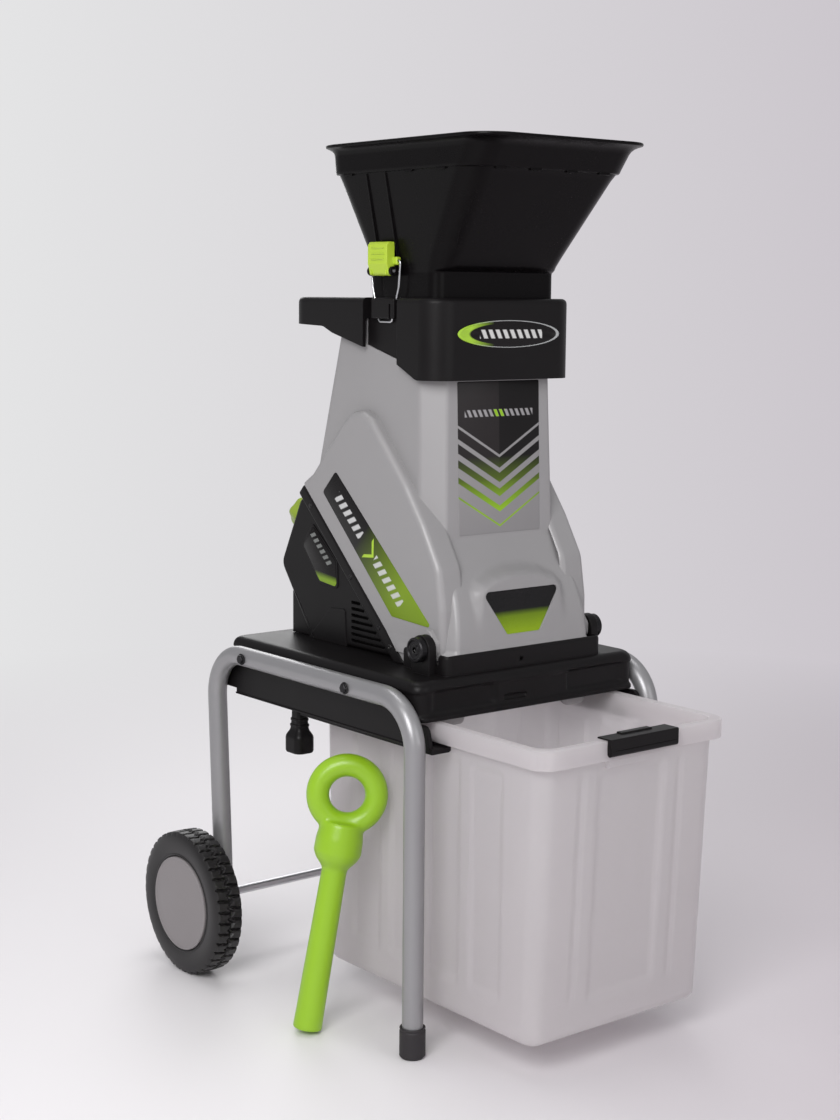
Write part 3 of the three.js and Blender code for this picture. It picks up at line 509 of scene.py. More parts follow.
def side_band_finish(side, upper, lower):
    """A band from black at its upper end to lime at its lower end, with a row of plain slanted bars."""
    p = Paint("side_band_left" if side < 0 else "side_band_right")
    _, y, z = p.axes()
    run = np.array(upper) - np.array(lower)
    length = float(np.linalg.norm(run))
    run = run / length
    along = p.math("ADD", p.math("MULTIPLY", y, float(run[0])), p.math("MULTIPLY", z, float(run[1])))
    along = p.math("SUBTRACT", along, float(run @ np.array(lower)))
    across = p.math("SUBTRACT", p.math("MULTIPLY", z, float(run[0])), p.math("MULTIPLY", y, float(run[1])))
    across = p.math("SUBTRACT", across, float(run[0] * lower[1] - run[1] * lower[0]))
    fade = p.ramp(along, 0.6 * length, 0.16 * length)
    ink = p.mix(fade, DEEP_BLACK, srgb(120, 148, 28))
    bars = slanted_bars(p, along, across, 0.12 * length, 0.44 * length, 7.5, 13.0)
    upper_bars = slanted_bars(p, along, across, 0.6 * length, 0.9 * length, 7.5, 13.0)
    ring = p.math("ABSOLUTE", p.math("SUBTRACT", along, 0.52 * length))
    bend = p.math("MULTIPLY_ADD", p.math("ABSOLUTE", across), 0.9, ring)
    arrow = stripe(p, bend, 12.0, 17.5, 0.5)
    arrow = p.math("MULTIPLY", arrow, p.ramp(along, 0.52 * length, 0.52 * length - 1))
    ink = p.mix(p.math("MULTIPLY", p.math("ADD", bars, upper_bars), 0.8), ink, srgb(214, 214, 214))
    ink = p.mix(arrow, ink, srgb(172, 208, 60))
    return p.finish(ink, 0.3, grain=0.7, bump=0.04, wear=0.0, specular=0.2)


def emblem_finish(centre, half_x, half_z):
    """A dark oval with a bright rim and plain slanted bars."""
    p = Paint("collar_emblem")
    x, _, z = p.axes()
    a = p.math("DIVIDE", p.math("SUBTRACT", x, centre[0]), half_x)
    b = p.math("DIVIDE", p.math("SUBTRACT", z, centre[1]), half_z)
    reach = p.math("SQRT", p.math("ADD", p.math("MULTIPLY", a, a), p.math("MULTIPLY", b, b)))
    rim = p.ramp(reach, 0.93, 0.95)
    green = p.math("MULTIPLY", p.ramp(a, -0.3, -0.75), p.ramp(reach, 0.76, 0.8))
    row = p.math("MULTIPLY", b, half_z)
    bars = slanted_bars(p, p.math("MULTIPLY", a, half_x), row, -50, 56, 5.5, 12.0)
    ink = p.mix(bars, DEEP_BLACK, srgb(206, 206, 204))
    ink = p.mix(rim, ink, srgb(170, 172, 172))
    ink = p.mix(green, ink, srgb(164, 204, 64))
    return p.finish(ink, 0.25, grain=0.7, bump=0.03, wear=0.0, specular=0.25)


def housing_mark_finish(side):
    """A gloss black mark with a green tip, and bars along its slant."""
    p = Paint("housing_mark_left" if side < 0 else "housing_mark_right")
    _, y, z = p.axes()
    slope = p.math("MULTIPLY_ADD", y, -0.1, z)
    tip = p.ramp(slope, 553, 545)
    ink = p.mix(tip, DEEP_BLACK, srgb(128, 160, 44))
    along = p.math("MULTIPLY_ADD", y, 0.72, p.math("MULTIPLY", z, 0.69))
    across = p.math("MULTIPLY_ADD", y, -0.69, p.math("MULTIPLY", z, 0.72))
    middle = 0.72 * MARK_MIDDLE[0] + 0.69 * MARK_MIDDLE[1]
    offset = 0.72 * MARK_MIDDLE[1] - 0.69 * MARK_MIDDLE[0]
    bars = slanted_bars(p, p.math("SUBTRACT", along, middle), p.math("SUBTRACT", across, offset), -30, 30,
                        5, 10.0)
    ink = p.mix(bars, ink, srgb(120, 122, 120))
    return p.finish(ink, 0.24, grain=0.6, bump=0.03, wear=0.0, specular=0.2)


FINISH = plastics()
SLOT = {part["node"]: part["material_slot"] for part in frame["record"]["subparts"]}


def mount(obj, node, name=None, material=None):
    """Gives a piece its finish and its body, and lets it stand for its CAD node."""
    obj.name = name or obj.name
    obj.data.materials.clear()
    obj.data.materials.append(material or FINISH[SLOT[node]])
    obj.modifiers.new("even_shading", "WEIGHTED_NORMAL").keep_sharp = True
    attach(obj, BODY[node])
    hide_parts(node)


def add_detail(obj, name, slot, body, material=None):
    """Finishes a piece that stands for no CAD node."""
    obj.name = name
    obj.data.materials.clear()
    obj.data.materials.append(material or FINISH[slot])
    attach(obj, body)


def refine(node, width):
    """A CAD node's own shape with merged faces and rounded edges."""
    bm = bmesh.new()
    bm.from_mesh(frame["nodes"][node].data)
    bmesh.ops.remove_doubles(bm, verts=bm.verts, dist=1e-5)
    bmesh.ops.dissolve_limit(bm, angle_limit=math.radians(1), verts=bm.verts, edges=bm.edges)
    mesh = bpy.data.meshes.new(node + "_finished")
    bm.to_mesh(mesh)
    bm.free()
    obj = bpy.data.objects.new(node + "_finished", mesh)
    bpy.context.scene.collection.objects.link(obj)
    settle(obj)
    mount(round_edges(obj, width, 2), node)


# ---------------------------------------------------------------- stand and wheels
TUBE_BEND = 62
TUBE_WALL = 1.8


def side_frame(name):
    """An inverted U of tube whose rear leg leans a little forward."""
    node = "side_frame_" + name
    low, high = span(node)
    radius = (high[0] - low[0]) / 2
    x = (low[0] + high[0]) / 2
    bar_z = high[2] - radius
    front_y = low[1] + radius
    rear_y = high[1] - radius
    axle = sum(span("axle")) / 2
    lean = (rear_y - axle[1]) / (bar_z - TUBE_BEND - axle[2])
    corners = [(x, front_y, low[2]), (x, front_y, bar_z), (x, rear_y + lean * TUBE_BEND, bar_z)]
    rear_foot = (x, axle[1] - lean * 16, axle[2] - 16)
    path = fillet(corners + [rear_foot], TUBE_BEND, 18, closed=False)
    mount(sweep(node + "_tube", path, radius, 36, TUBE_WALL, sharp=50), node)


def foot(name):
    node = "foot_" + name
    low, high = span(node)
    r = (high[0] - low[0]) / 2
    centre = (low + high) / 2
    inner = r - 2.85
    tall = high[2]
    profile = [(0, 0), (r - 2.5, 0), (r, 3), (r, tall - 5), (r - 0.7, tall - 4), (r - 0.7, tall - 2.6),
               (r, tall - 1.6), (r - 0.4, tall), (inner, tall), (inner, 6), (0, 6)]
    at = np.array((centre[0], centre[1], 0.0))
    mount(lathe(node + "_cap", rounded_profile(profile, 1.0, 3), "z", at, 48, sharp=50), node)


def hex_bolt(node, side):
    """A flanged hexagon head with a chamfered top, and its shank."""
    at, r, shank_end, tip = turned_part(node)
    face = tip - 5
    shank = lathe("shank", [(0, shank_end), (r * 0.52, shank_end), (r * 0.52, face), (r * 1.05, face),
                            (r * 1.05, face + 1.0), (r * 0.9, face + 1.5), (0, face + 1.5)],
                  "x", at, 32, side)
    head = lathe("head",
                 [(0, face + 0.8), (r * 0.86, face + 0.8), (r * 0.86, tip - 1), (r * 0.7, tip), (0, tip)],
                 "x", at, 6, side, sharp=20)
    obj = join(shank, round_edges(head, 0.35, 2))
    mount(obj, node, node + "_hex")


def axle():
    at, r, _, half = turned_part("axle")
    profile = [(0, -half), (r - 1.2, -half), (r, -half + 1.2), (r, half - 1.2), (r - 1.2, half), (0, half)]
    mount(lathe("axle_bar", profile, "x", at, 40), "axle")


TREAD = {"lugs": 40, "samples": 10, "depth": 4.2, "gap": 1.5, "pitch": 1.45}


def tyre(name, side):
    """A moulded tyre: two offset rows of lugs with a zigzag groove between them."""
    node = "tyre_" + name
    centre, r, inner, outer = turned_part(node)
    width = outer - inner
    bead = 66.3
    half = width / 2
    shoulder = [(bead, 2.6), (bead + 2.4, 1.4), (bead + 4, 2.2), (bead + 10, 0.5), (r - 14, 0), (r - 7, 1.2),
                (r - 3.4, 3.2)]
    tread_at = np.arange(4.6, width - 4.5, TREAD["pitch"])
    section = shoulder + [(r, h) for h in tread_at]
    section += [(a, width - h) for a, h in reversed(shoulder)]
    around = TREAD["lugs"] * TREAD["samples"]
    pitch = 2 * math.pi * r / TREAD["lugs"]
    rings = []
    for turn in angles(around):
        along = r * turn
        zigzag = 3.0 * (abs((along / pitch) % 1 - 0.5) * 4 - 1)
        ring = []
        for radius, h in section:
            if 3.9 < h < width - 3.9:
                row = 0.0 if h < half + zigzag else 0.5
                slot = abs(((along + (h - half) * 0.18) / pitch + row) % 1 - 0.5) * pitch
                middle = abs(h - half - zigzag)
                lug = float(smooth(min(pitch / 2 - slot, middle), TREAD["gap"] * 0.6, TREAD["gap"] * 1.5))
                radius = r - TREAD["depth"] * (1 - lug)
                radius -= 0.02 * (abs(h - half) / half * 6) ** 2
            y, z = centre[1] + radius * math.cos(turn), centre[2] + radius * math.sin(turn)
            ring.append((side * (inner + h), y, z))
        rings.append(ring)
    mount(loft(node + "_tread", rings, loop=True, sharp=40), node)


def wheel_hub(name, side):
    """The hub shell, open towards the machine, with ribs between its boss and its rim."""
    node = "wheel_hub_" + name
    at, rim, near, far = turned_part(node)
    inner = near + 4
    width = far - inner + 5
    bore = 6.4
    profile = [(bore, -4), (15, -4), (16.5, -2.5), (18, width - 19), (rim - 5, width - 19), (rim - 4, 4),
               (rim - 4, 3), (rim - 1, 2.6), (rim, 4), (rim, width - 5), (rim - 4, width - 5),
               (rim - 5, width - 15), (18, width - 15), (16, width - 18), (bore, width - 18)]
    shell = lathe("hub", [(r, inner + h) for r, h in profile], "x", at, 64, side)
    ribs = []
    for k in range(8):
        rib = block("rib", (side * (inner + 3), side * (inner + width - 18)), (14, rim - 2.5), (-1.3, 1.3),
                    0.6, 2)
        turn = Matrix.Translation(Vector(at)) @ Matrix.Rotation(math.pi * k / 4, 4, "X")
        ribs.append(moved(rib, turn))
    obj = join(shell, *ribs)
    mount(obj, node, node + "_shell")


def hub_cap(name, side):
    """A plain grey disc, slightly crowned, with a thin raised edge."""
    node = "hub_cap_" + name
    at, r, back, tip = turned_part(node)
    profile = [(0, back), (r - 0.8, back), (r, back + 0.8), (r, back + 3.6), (r - 0.8, back + 4.4),
               (r - 2.2, back + 4.4), (r - 3.2, back + 3.6), (r - 5, back + 3.4), (r * 0.7, back + 4.6),
               (r * 0.35, tip - 0.4), (0, tip)]
    mount(lathe(node + "_disc", profile, "x", at, 96, side, sharp=40), node)


# ---------------------------------------------------------------- deck, chute and rails
DECK = {"x": 190.0, "front": -153.0, "bow": 5.0, "rear": span("base_deck")[1][1], "top": 472.0, "lip": 421.5}
PLINTH = {"x": 134.0, "front": -146.0, "rear": -52.0, "top": 497.0}
HINGE_AT = turned_part("hinge_pin_right")[0]
HINGE = {"y": HINGE_AT[1], "z": HINGE_AT[2], "ear": (134.0, 147.0)}


def curve3(a, b, c, steps):
    """A quadratic curve from a to c that heads for b."""
    a, b, c = (np.array(p, float) for p in (a, b, c))
    at = [k / steps for k in range(steps)]
    return [(1 - t) ** 2 * a + 2 * t * (1 - t) * b + t * t * c for t in at]


def deck_ring(inset, z, lip=0.0):
    """The deck's plan: rounded corners and a front that bows forward."""
    x, front, rear = DECK["x"] - inset, DECK["front"] + inset, DECK["rear"] - inset
    r = 16
    bow = front - 2 * DECK["bow"] + 4
    points = curve3((-x + r, front - 4), (0, bow), (x - r, front - 4), 110)
    points += curve3((x - r, front - 4), (x, front), (x, front + r), 10)
    points += curve3((x, rear - 12), (x, rear), (x - 12, rear), 6)
    points += curve3((-x + 12, rear), (-x, rear), (-x, rear - 12), 6)
    points += curve3((-x, front + r), (-x, front), (-x + r, front - 4), 10)
    out = []
    for a, b in points:
        push = lip * float(smooth(b, front + 6, front - 2))
        if b < front + 1 and inset < 3:
            push -= 3.4 * apron_panel(abs(a), z)
        out.append((a, b - push, z))
    return out


def apron_panel(a, z):
    """1 inside the two shallow panels pressed into the apron, 0 outside them."""
    across = float(smooth(a, 60, 66)) * float(smooth(a, 168, 158))
    return across * float(smooth(z, 431, 435.5)) * float(smooth(z, 462, 456))


def base_deck():
    d = DECK
    low = d["lip"]
    levels = [(3.4, low, 3.4), (1.8, low, 4.4), (1.4, low + 1, 4.8), (1.4, low + 4.4, 4.8),
              (1.4, low + 5.6, 4), (1.4, low + 6.6, 1.8), (1.4, low + 8, 0.4), (1.4, 431.5, 0),
              (1.4, 433, 0), (1.4, 434.5, 0), (1.4, 437, 0), (1.4, 445, 0), (1.4, 453, 0), (1.4, 455, 0),
              (0.9, 457, 0), (0.1, 458.2, 0), (0, 459.6, 0), (0.1, 461, 0), (0.5, 463, 0), (1.3, 465.4, 0),
              (2.5, 467.6, 0), (4.2, 469.5, 0), (6.4, 470.9, 0), (8.8, 471.7, 0), (12, 472, 0)]
    deck = loft("deck_shell", [deck_ring(inset, z, lip) for inset, z, lip in levels])
    hollow = loft("hollow", [deck_ring(i, z) for i, z in ((6.2, low - 2), (6.2, 460), (10, d["top"] - 5))])
    deck = cut(deck, hollow)
    p = PLINTH
    levels = [(0, d["top"] - 3), (0, p["top"] - 4), (0.7, p["top"] - 1.8), (2.2, p["top"] - 0.4),
              (4, p["top"])]
    plinth = loft("plinth",
                  [round_ring(p["x"] - i, p["front"] + i, p["rear"] - i, 10 - i, z, 6) for i, z in levels])
    skirts = []
    for _, s in SIDES:
        thick = mirrored(s, 184.6, 188.6)
        skirts += [block("skirt", thick, (-128, d["rear"] - 12), (391, d["top"] - 13), 1.2),
                   block("tail", thick, (d["rear"] - 15, d["rear"] + 29), (398.5, 440), 1.2),
                   block("hem", mirrored(s, 185, 190), (-127, d["rear"] - 12), (391, 393.6), 0.9, 3)]
    deck = join(deck, plinth, *skirts)
    well = block("well", (-p["x"] + 4, p["x"] - 4), (p["front"] + 4, p["rear"] + 40),
                 (d["top"] - 1, p["top"] + 9), 3)
    outlet = block("outlet", (-p["x"] + 4, p["x"] - 4), (p["front"] + 4, -60), (d["top"] - 20, p["top"]), 3)
    lug_y = (HINGE["y"] - 21, HINGE["y"] + 21)
    room = [block("room", mirrored(s, 116, HINGE["ear"][0]), lug_y, (484, 525)) for _, s in SIDES]
    slot = block("slot", (-48, -8), (-200, -153.4), (433, 441), 3.6, 4)
    hole = lathe("hole", [(0, -160), (3.2, -160), (3.2, -140), (0, -140)], "y", (-9, 0, 482), 20)
    deck = cut(deck, well, outlet, slot, hole, *room)
    ears = []
    for _, s in SIDES:
        y, z = HINGE["y"], HINGE["z"]
        side = fillet([(y - 18, d["top"] - 2), (y + 18, d["top"] - 2), (y + 18, z + 18), (y - 18, z + 18)],
                      [0, 0, 17.9, 17.9], 12)
        near, far = mirrored(s, *HINGE["ear"])
        ear = round_edges(prism("ear", side, "x", near, far), 1.6)
        pin = lathe("pin", [(0, near - 5), (4.4, near - 5), (4.4, far + 5), (0, far + 5)], "x", (0, y, z), 24)
        ears.append(cut(ear, pin))
    deck = join(deck, *ears)
    mount(deck, "base_deck", "deck_moulding")


def bin_rail(name, side):
    """A J-shaped rail with a curled inner lip and a slanted nose."""
    node = "bin_rail_" + name
    low, high = span(node)
    inner, outer = sorted((abs(low[0]), abs(high[0])))
    front, rear = low[1], high[1]
    z = low[2]
    nose = z + 33.2
    side_view = [(front + 3, z), (rear, z), (rear, high[2]), (front + 53, high[2]), (front + 53, nose),
                 (front + 12, nose)]
    near, far = mirrored(side, outer - 6, outer)
    web = prism("web", fillet(side_view, [3, 0, 0, 3, 3, 10], 5), "x", near, far)
    hook = [(outer, z), (outer, z + 7), (outer - 6, z + 7), (inner + 4, z + 4.6), (inner + 2.6, z + 13),
            (inner, z + 13), (inner, z + 2), (inner + 3, z)]
    hook = fillet([(side * a, b) for a, b in hook], [0, 0, 0, 1.5, 1.2, 1.2, 2.4, 1], 4)
    ledge = prism("ledge", hook, "y", front, rear)
    obj = round_edges(join(web, ledge), 0.7, 2)
    mount(obj, node, node + "_profile")


# ---------------------------------------------------------------- the sloping joint between the housings
SPLIT_Y, SPLIT_Z, SPLIT_TILT = 66.0, 584.5, math.radians(43.5)
TO_SPLIT = Matrix.Translation((0, SPLIT_Y, SPLIT_Z)) @ Matrix.Rotation(SPLIT_TILT, 4, "X")
FLANGE = {"x": 127.0, "low": -160.0, "high": 150.0, "thick": 18.0}


def split_z(y, drop=0.0):
    """Height of the joint plane at y, or of a plane `drop` below it."""
    return SPLIT_Z + (y - SPLIT_Y) * math.tan(SPLIT_TILT) - drop / math.cos(SPLIT_TILT)


def motor_housing():
    """A sloping case under a screwed flange, with louvres, a gusset panel and a cover seam."""
    bottom = span("motor_housing")[0][2]
    x = 112
    case = [(-20, bottom), (165, 672), (204, 666), (252, 570), (179, bottom)]
    obj = round_edges(prism("case", fillet(case, [0, 6, 16, 18, 0], 8), "x", -x, x), 6, 5)
    f = FLANGE
    flange = block("flange", (-f["x"], f["x"]), (f["low"], f["high"]), (-f["thick"], -0.15), 3.5, 4)
    obj = join(obj, moved(flange, TO_SPLIT))
    panels = []
    for _, s in SIDES:
        near, far = mirrored(s, x - 2, x + 1.4)
        gusset = [(184, bottom - 2), (131, 521), (97, 524), (93, bottom - 2)]
        panels.append(round_edges(prism("gusset", fillet(gusset, [0, 5, 5, 0]), "x", near, far), 1.0, 2))
        mark = housing_mark_outline(1.0)
        panels.append(round_edges(prism("pad", mark, "x", near, far), 0.8, 2))
    obj = join(obj, *panels, knob_boss())
    floor = block("floor", (-200, 200), (-200, 300), (300, bottom))
    mouth = block("mouth", (-84, 84), (-150, -60), (-30, 5), 4)
    pan = block("pan", (-f["x"] + 7, f["x"] - 7), (f["low"] + 7, f["high"] - 7), (-5, 5), 2)
    shaft = lathe("shaft", [(0, -40), (8, -40), (8, 3), (0, 3)], "z", (0, 0, 0), 32)
    drive = [moved(tool, TO_SPLIT) for tool in (mouth, pan, shaft)]
    louvres = []
    for k in range(7):
        z = 481 + 8.6 * k
        start = SPLIT_Y + (z - split_z(SPLIT_Y, f["thick"])) / math.tan(SPLIT_TILT) + 26
        for _, s in SIDES:
            louvres.append(block("louvre", mirrored(s, x - 7, x + 8), (start, 84), (z, z + 4.2), 1.8, 3))
    seam = [(214, 532), (215.2, 531), (164, bottom - 4), (162.4, bottom - 4)]
    seams = [prism("seam", seam, "x", *mirrored(s, x - 1, x + 4)) for _, s in SIDES]
    obj = cut(obj, floor, *drive, *louvres, *seams)
    mount(obj, "motor_housing", "motor_case")


def housing_mark_outline(grow=0.0):
    """The slanted mark on the housing's side, in y and z."""
    corners = [(173, 633), (196, 602), (155, 553), (114, 549.5), (115.5, 587)]
    middle = np.mean(corners, axis=0)
    out = []
    for corner in corners:
        run = np.array(corner) - middle
        out.append(middle + run * (1 + grow / np.linalg.norm(run)))
    return fillet(out, 5, 4)


KNOB_SEAT = (-78, 221.5, 631)


def knob_frame():
    """A frame whose z axis is the lock knob's axis, from the boss outwards."""
    rise = math.radians(26.6)
    turn = Matrix.Rotation(rise, 4, "X") @ Matrix.Rotation(-math.pi / 2, 4, "X")
    return Matrix.Translation(KNOB_SEAT) @ turn


def knob_boss():
    boss = lathe("boss", rounded_profile([(0, -14), (26, -14), (23.5, 5.6), (0, 5.6)], 1.5), "z", (0, 0, 0),
                 48)
    return moved(boss, knob_frame())


def flange_screws():
    """Four recessed screws on each side of the flange."""
    for name, s in SIDES:
        parts = []
        for y in (158, 66, 4, -20):
            face = FLANGE["x"] - 0.6
            profile = [(0, face - 3), (3.6, face - 3), (3.6, face + 0.9), (2.9, face + 1.5),
                       (1.5, face + 1.5), (1.2, face + 0.2), (0, face + 0.2)]
            parts.append(lathe("screw", profile, "x", (0, y, split_z(y, FLANGE["thick"] / 2)), 20, s))
        add_detail(join(parts[0], *parts[1:]), "flange_screws_" + name, "dark_steel", "base")


def rear_cover():
    """The plate over the motor, with a row of cooling slots and four screws."""
    edge = np.array([(252, 570), (179, 472.3)])
    run = edge[0] - edge[1]
    run = run / np.linalg.norm(run)
    frame_y, frame_z = edge[1]
    tilt = math.atan2(run[1], run[0])
    to_cover = Matrix.Translation((0, frame_y, frame_z)) @ Matrix.Rotation(tilt, 4, "X")
    length = float(np.linalg.norm(edge[0] - edge[1]))
    plate = block("plate", (-103, 103), (8, length - 10), (-4.5, 1.2), 2, 3)
    slots = [block("slot", (-70, 70), (20 + 11 * k, 25 + 11 * k), (-9, 5), 2.2, 3) for k in range(8)]
    obj = cut(plate, *slots)
    for a in (-92, 92):
        for b in (18, length - 20):
            head = lathe("head", [(0, 0.6), (4.5, 0.6), (4.5, 1.8), (3.4, 3), (0, 3.2)], "z", (a, b, 0), 20)
            obj = join(obj, head)
    mount(moved(obj, to_cover), "motor_rear_cover", "rear_cover_plate")


# ---------------------------------------------------------------- tower
TOWER_BOTTOM = span("tower_shell")[0][2]
TOWER_TOP = 914.0
CREASE = 634.0
# Height, front half-width and y, side half-width and where the side starts, rear y.
TOWER_SKIRT = [(490, 112, -141, 128, -114, 243), (530, 109, -137, 124, -104, 231),
               (571, 104, -124, 118, -88, 220), (600, 98, -108, 115, -74, 212),
               (CREASE, 91, -90, 112, -62, 203)]
TOWER_NECK = [(CREASE, 91, -90, 112, -62, 203), (832, 86, -83, 110, -56, 150),
              (TOWER_TOP, 85, -80, 109, -52, 128)]
TOWER_WALL = 3.5
GABLE_X = 126.0
GABLE_ROUND = [0, 0, 14, 22, 30, 22, 22, 30, 40, 60, 60, 40, 10]
GABLE_MIDDLE = np.array((30.0, 620.0))
GABLE_WALL = 4
GABLE = [(-128.0, 400.0), (300.0, 610.0), (184.0, 688.0), (158.0, 704.0), (90.0, 776.0), (70.0, 792.0),
         (46.0, 795.0), (26.0, 785.0), (-7.0, 750.0), (-49.0, 704.0), (-84.0, 657.0), (-116.0, 604.0),
         (-125.0, 550.0)]
BOSS = [(-78.0, 470.0), (78.0, 470.0), (77.0, 573.0), (66.0, 585.0), (44.0, 594.0), (15.0, 599.0),
        (-15.0, 599.0), (-44.0, 594.0), (-66.0, 585.0), (-77.0, 573.0)]
RECESS = [(-27.0, 856.0), (-16.0, 861.0), (39.0, 876.0), (54.0, 880.4), (54.0, 930.0), (-27.0, 930.0)]
BADGE_WINDOW = [(-28.0, 514.0), (28.0, 514.0), (67.0, 571.0), (-67.0, 571.0)]


def eased(rows, z):
    """The row at height z, on smooth curves through the given rows."""
    table = np.array(rows, float)
    heights = table[:, 0]
    k = int(np.clip(np.searchsorted(heights, z) - 1, 0, len(heights) - 2))
    slopes = np.gradient(table, heights, axis=0)
    run = heights[k + 1] - heights[k]
    t = (z - heights[k]) / run
    a, b = table[k], table[k + 1]
    ma, mb = slopes[k] * run, slopes[k + 1] * run
    return ((2 * t ** 3 - 3 * t * t + 1) * a + (t ** 3 - 2 * t * t + t) * ma
            + (3 * t * t - 2 * t ** 3) * b + (t ** 3 - t * t) * mb)


def tower_row(z):
    return eased(TOWER_SKIRT, z) if z < CREASE else eased(TOWER_NECK, z)


def boss_y(z):
    """Front face of the raised field round the badge."""
    return -141.5 + (z - 490) * 0.088


def tower_ring(z):
    _, wf, yf, ws, ys, yr = tower_row(z)
    half = [(wf, yf), (ws, ys), (ws, yr - 22), (ws - 22, yr)]
    other = [(-a, b) for a, b in reversed(half)]
    steps = 4
    points = fillet([(a, b, z) for a, b in half + other], [7, 12, 14, 14, 14, 14, 12, 7], steps)
    last = [(steps + 1) * (k + 1) - 1 for k in range(8)]
    return divided(points, dict(zip(last, (6, 84, 6, 50, 6, 84, 6, 62))))


def tower_shell():
    """The silver shell: flared skirt, straight neck, gable bulges and the raised badge field."""
    heights = list(np.linspace(TOWER_BOTTOM, CREASE, 42)) + list(np.linspace(CREASE, TOWER_TOP, 74))[1:]
    rings = np.array([tower_ring(z) for z in heights])
    x, y, z = (rings[..., k].reshape(-1) for k in range(3))
    raised = smooth(inside_by(BOSS, x, z), -3, 12) * (y < -60)
    y = np.where(boss_y(z) < y, y + (boss_y(z) - y) * raised, y)
    lip = smooth(z, 497.5, 495.5) * (y < -36)
    x = x * (1 + 0.012 * lip)
    y = y - 1.6 * lip * (y < -100)
    points = np.stack([x, y, z], 1).reshape(rings.shape)
    obj = loft("tower", list(points), caps=False, sharp=60, normals=False)
    bm = bmesh.new()
    bm.from_mesh(obj.data)
    normal = Vector((0, -math.sin(SPLIT_TILT), math.cos(SPLIT_TILT)))
    bmesh.ops.bisect_plane(bm, geom=bm.verts[:] + bm.edges[:] + bm.faces[:], clear_inner=True,
                           plane_co=Vector((0, SPLIT_Y, SPLIT_Z + 0.2)) * MM, plane_no=normal)
    bm.to_mesh(obj.data)
    bm.free()
    step = obj.modifiers.new("thickness", "SOLIDIFY")
    step.thickness = TOWER_WALL * MM
    step.offset = -1
    bake(obj, 38)
    outline = fillet(GABLE, GABLE_ROUND, 7)
    for _, s in SIDES:
        below = moved(block("below", (-200, 200), (-400, 400), (-400, 0.2)), TO_SPLIT)
        gable = round_edges(prism("gable", outline, "x", *mirrored(s, 84, GABLE_X)), 9, 6)
        inner = [GABLE_MIDDLE + (np.array(p) - GABLE_MIDDLE) * 0.965 for p in outline]
        core = prism("core", inner, "x", *mirrored(s, 80, GABLE_X - GABLE_WALL))
        obj = join(obj, cut(gable, core, below))
    window = prism("window", fillet(BADGE_WINDOW, [5, 5, 6, 6], 5), "y", -170, -112)
    cut(obj, window, *(prism("recess", RECESS, "x", *mirrored(s, 100, 130)) for _, s in SIDES))
    settle(obj, 38)
    mount(obj, "tower_shell", "tower_moulding")


def tower_lugs():
    """The rounded arms that hang the tower on its hinge pins."""
    for name, s in SIDES:
        near, far = mirrored(s, 118, 133.4)
        y, z = HINGE["y"], HINGE["z"]
        side = fillet([(y - 13, z - 13), (y + 13, z - 13), (y + 13, z + 19), (y, z + 24), (y - 13, z + 8)],
                      [12.9, 12.9, 6, 6, 8], 10)
        lug = round_edges(prism("lug", side, "x", near, far), 1.2)
        pin = lathe("pin", [(0, near - 5), (4.3, near - 5), (4.3, far + 5), (0, far + 5)], "x", (0, y, z), 24)
        add_detail(cut(lug, pin), "tower_lug_" + name, "silver_plastic", "upper_housing")


def badge():
    """The inset plate behind the window, with a shallow dished field."""
    outline = fillet([(-30.5, 511), (30.5, 511), (72, 574), (-72, 574)], 6, 5)
    rings = []
    for inset, depth in ((0, 5.5), (0, 2.6), (0.6, 2.0), (9, 2.0), (10.5, 3.0)):
        ring = []
        for a, b in outline:
            shrink = max(0.0, 1 - inset / 34)
            px, pz = a * shrink, 545 + (b - 545) * shrink
            ring.append((px, boss_y(pz) + depth, pz))
        rings.append(ring)
    mount(loft("badge_plate", rings), "front_badge")


def film(name, outline, surface, thick, material, body):
    """A flat film: outline in (a, b), with surface(a, b, h) giving its place at height h."""
    rings = [[surface(a, b, h) for a, b in outline] for h in (-0.6, thick * 0.7)]
    middle = np.mean(np.array(outline), axis=0)
    top = []
    for point in outline:
        run = np.array(point) - middle
        a, b = middle + run * (1 - 0.4 / np.linalg.norm(run))
        top.append(surface(a, b, thick))
    add_detail(loft(name, rings + [top]), name, "badge", body, material)


def tower_films():
    """The printed films: V stripes on the front and a band on each side."""
    top, tip, half = 836.0, 647.0, 69.5
    outline = [(-half, tip - 8), (half, tip - 8), (half, top), (-half, top)]

    def on_front(a, b, h):
        return a, tower_row(b)[2] - h, b

    outline = fillet(outline, 2, 3)
    film("front_stripes", outline, on_front, 0.35, front_stripe_finish(top, tip), "upper_housing")
    band = fillet([(101, 711), (130, 681), (-23, 531.5), (-106, 527)], [5, 4, 3, 3], 5)
    for name, s in SIDES:
        finish = side_band_finish(s, (115, 696), (-64, 529))

        def on_side(a, b, h):
            return s * (GABLE_X + h), a, b

        film("side_band_" + name, band, on_side, 0.4, finish, "upper_housing")


def housing_marks():
    """The dark marks with a green tip on the motor housing's sides."""
    for name, s in SIDES:
        def on_case(a, b, h):
            return s * (113.4 + h), a, b

        finish = housing_mark_finish(s)
        film("housing_mark_" + name, housing_mark_outline(-2.5), on_case, 0.4, finish, "base")


# ---------------------------------------------------------------- collar and hopper
NECK = {"x": 103.0, "front": -78.0, "rear": 62.0}
LATCH_PIN = {"x": 117, "z": 975}


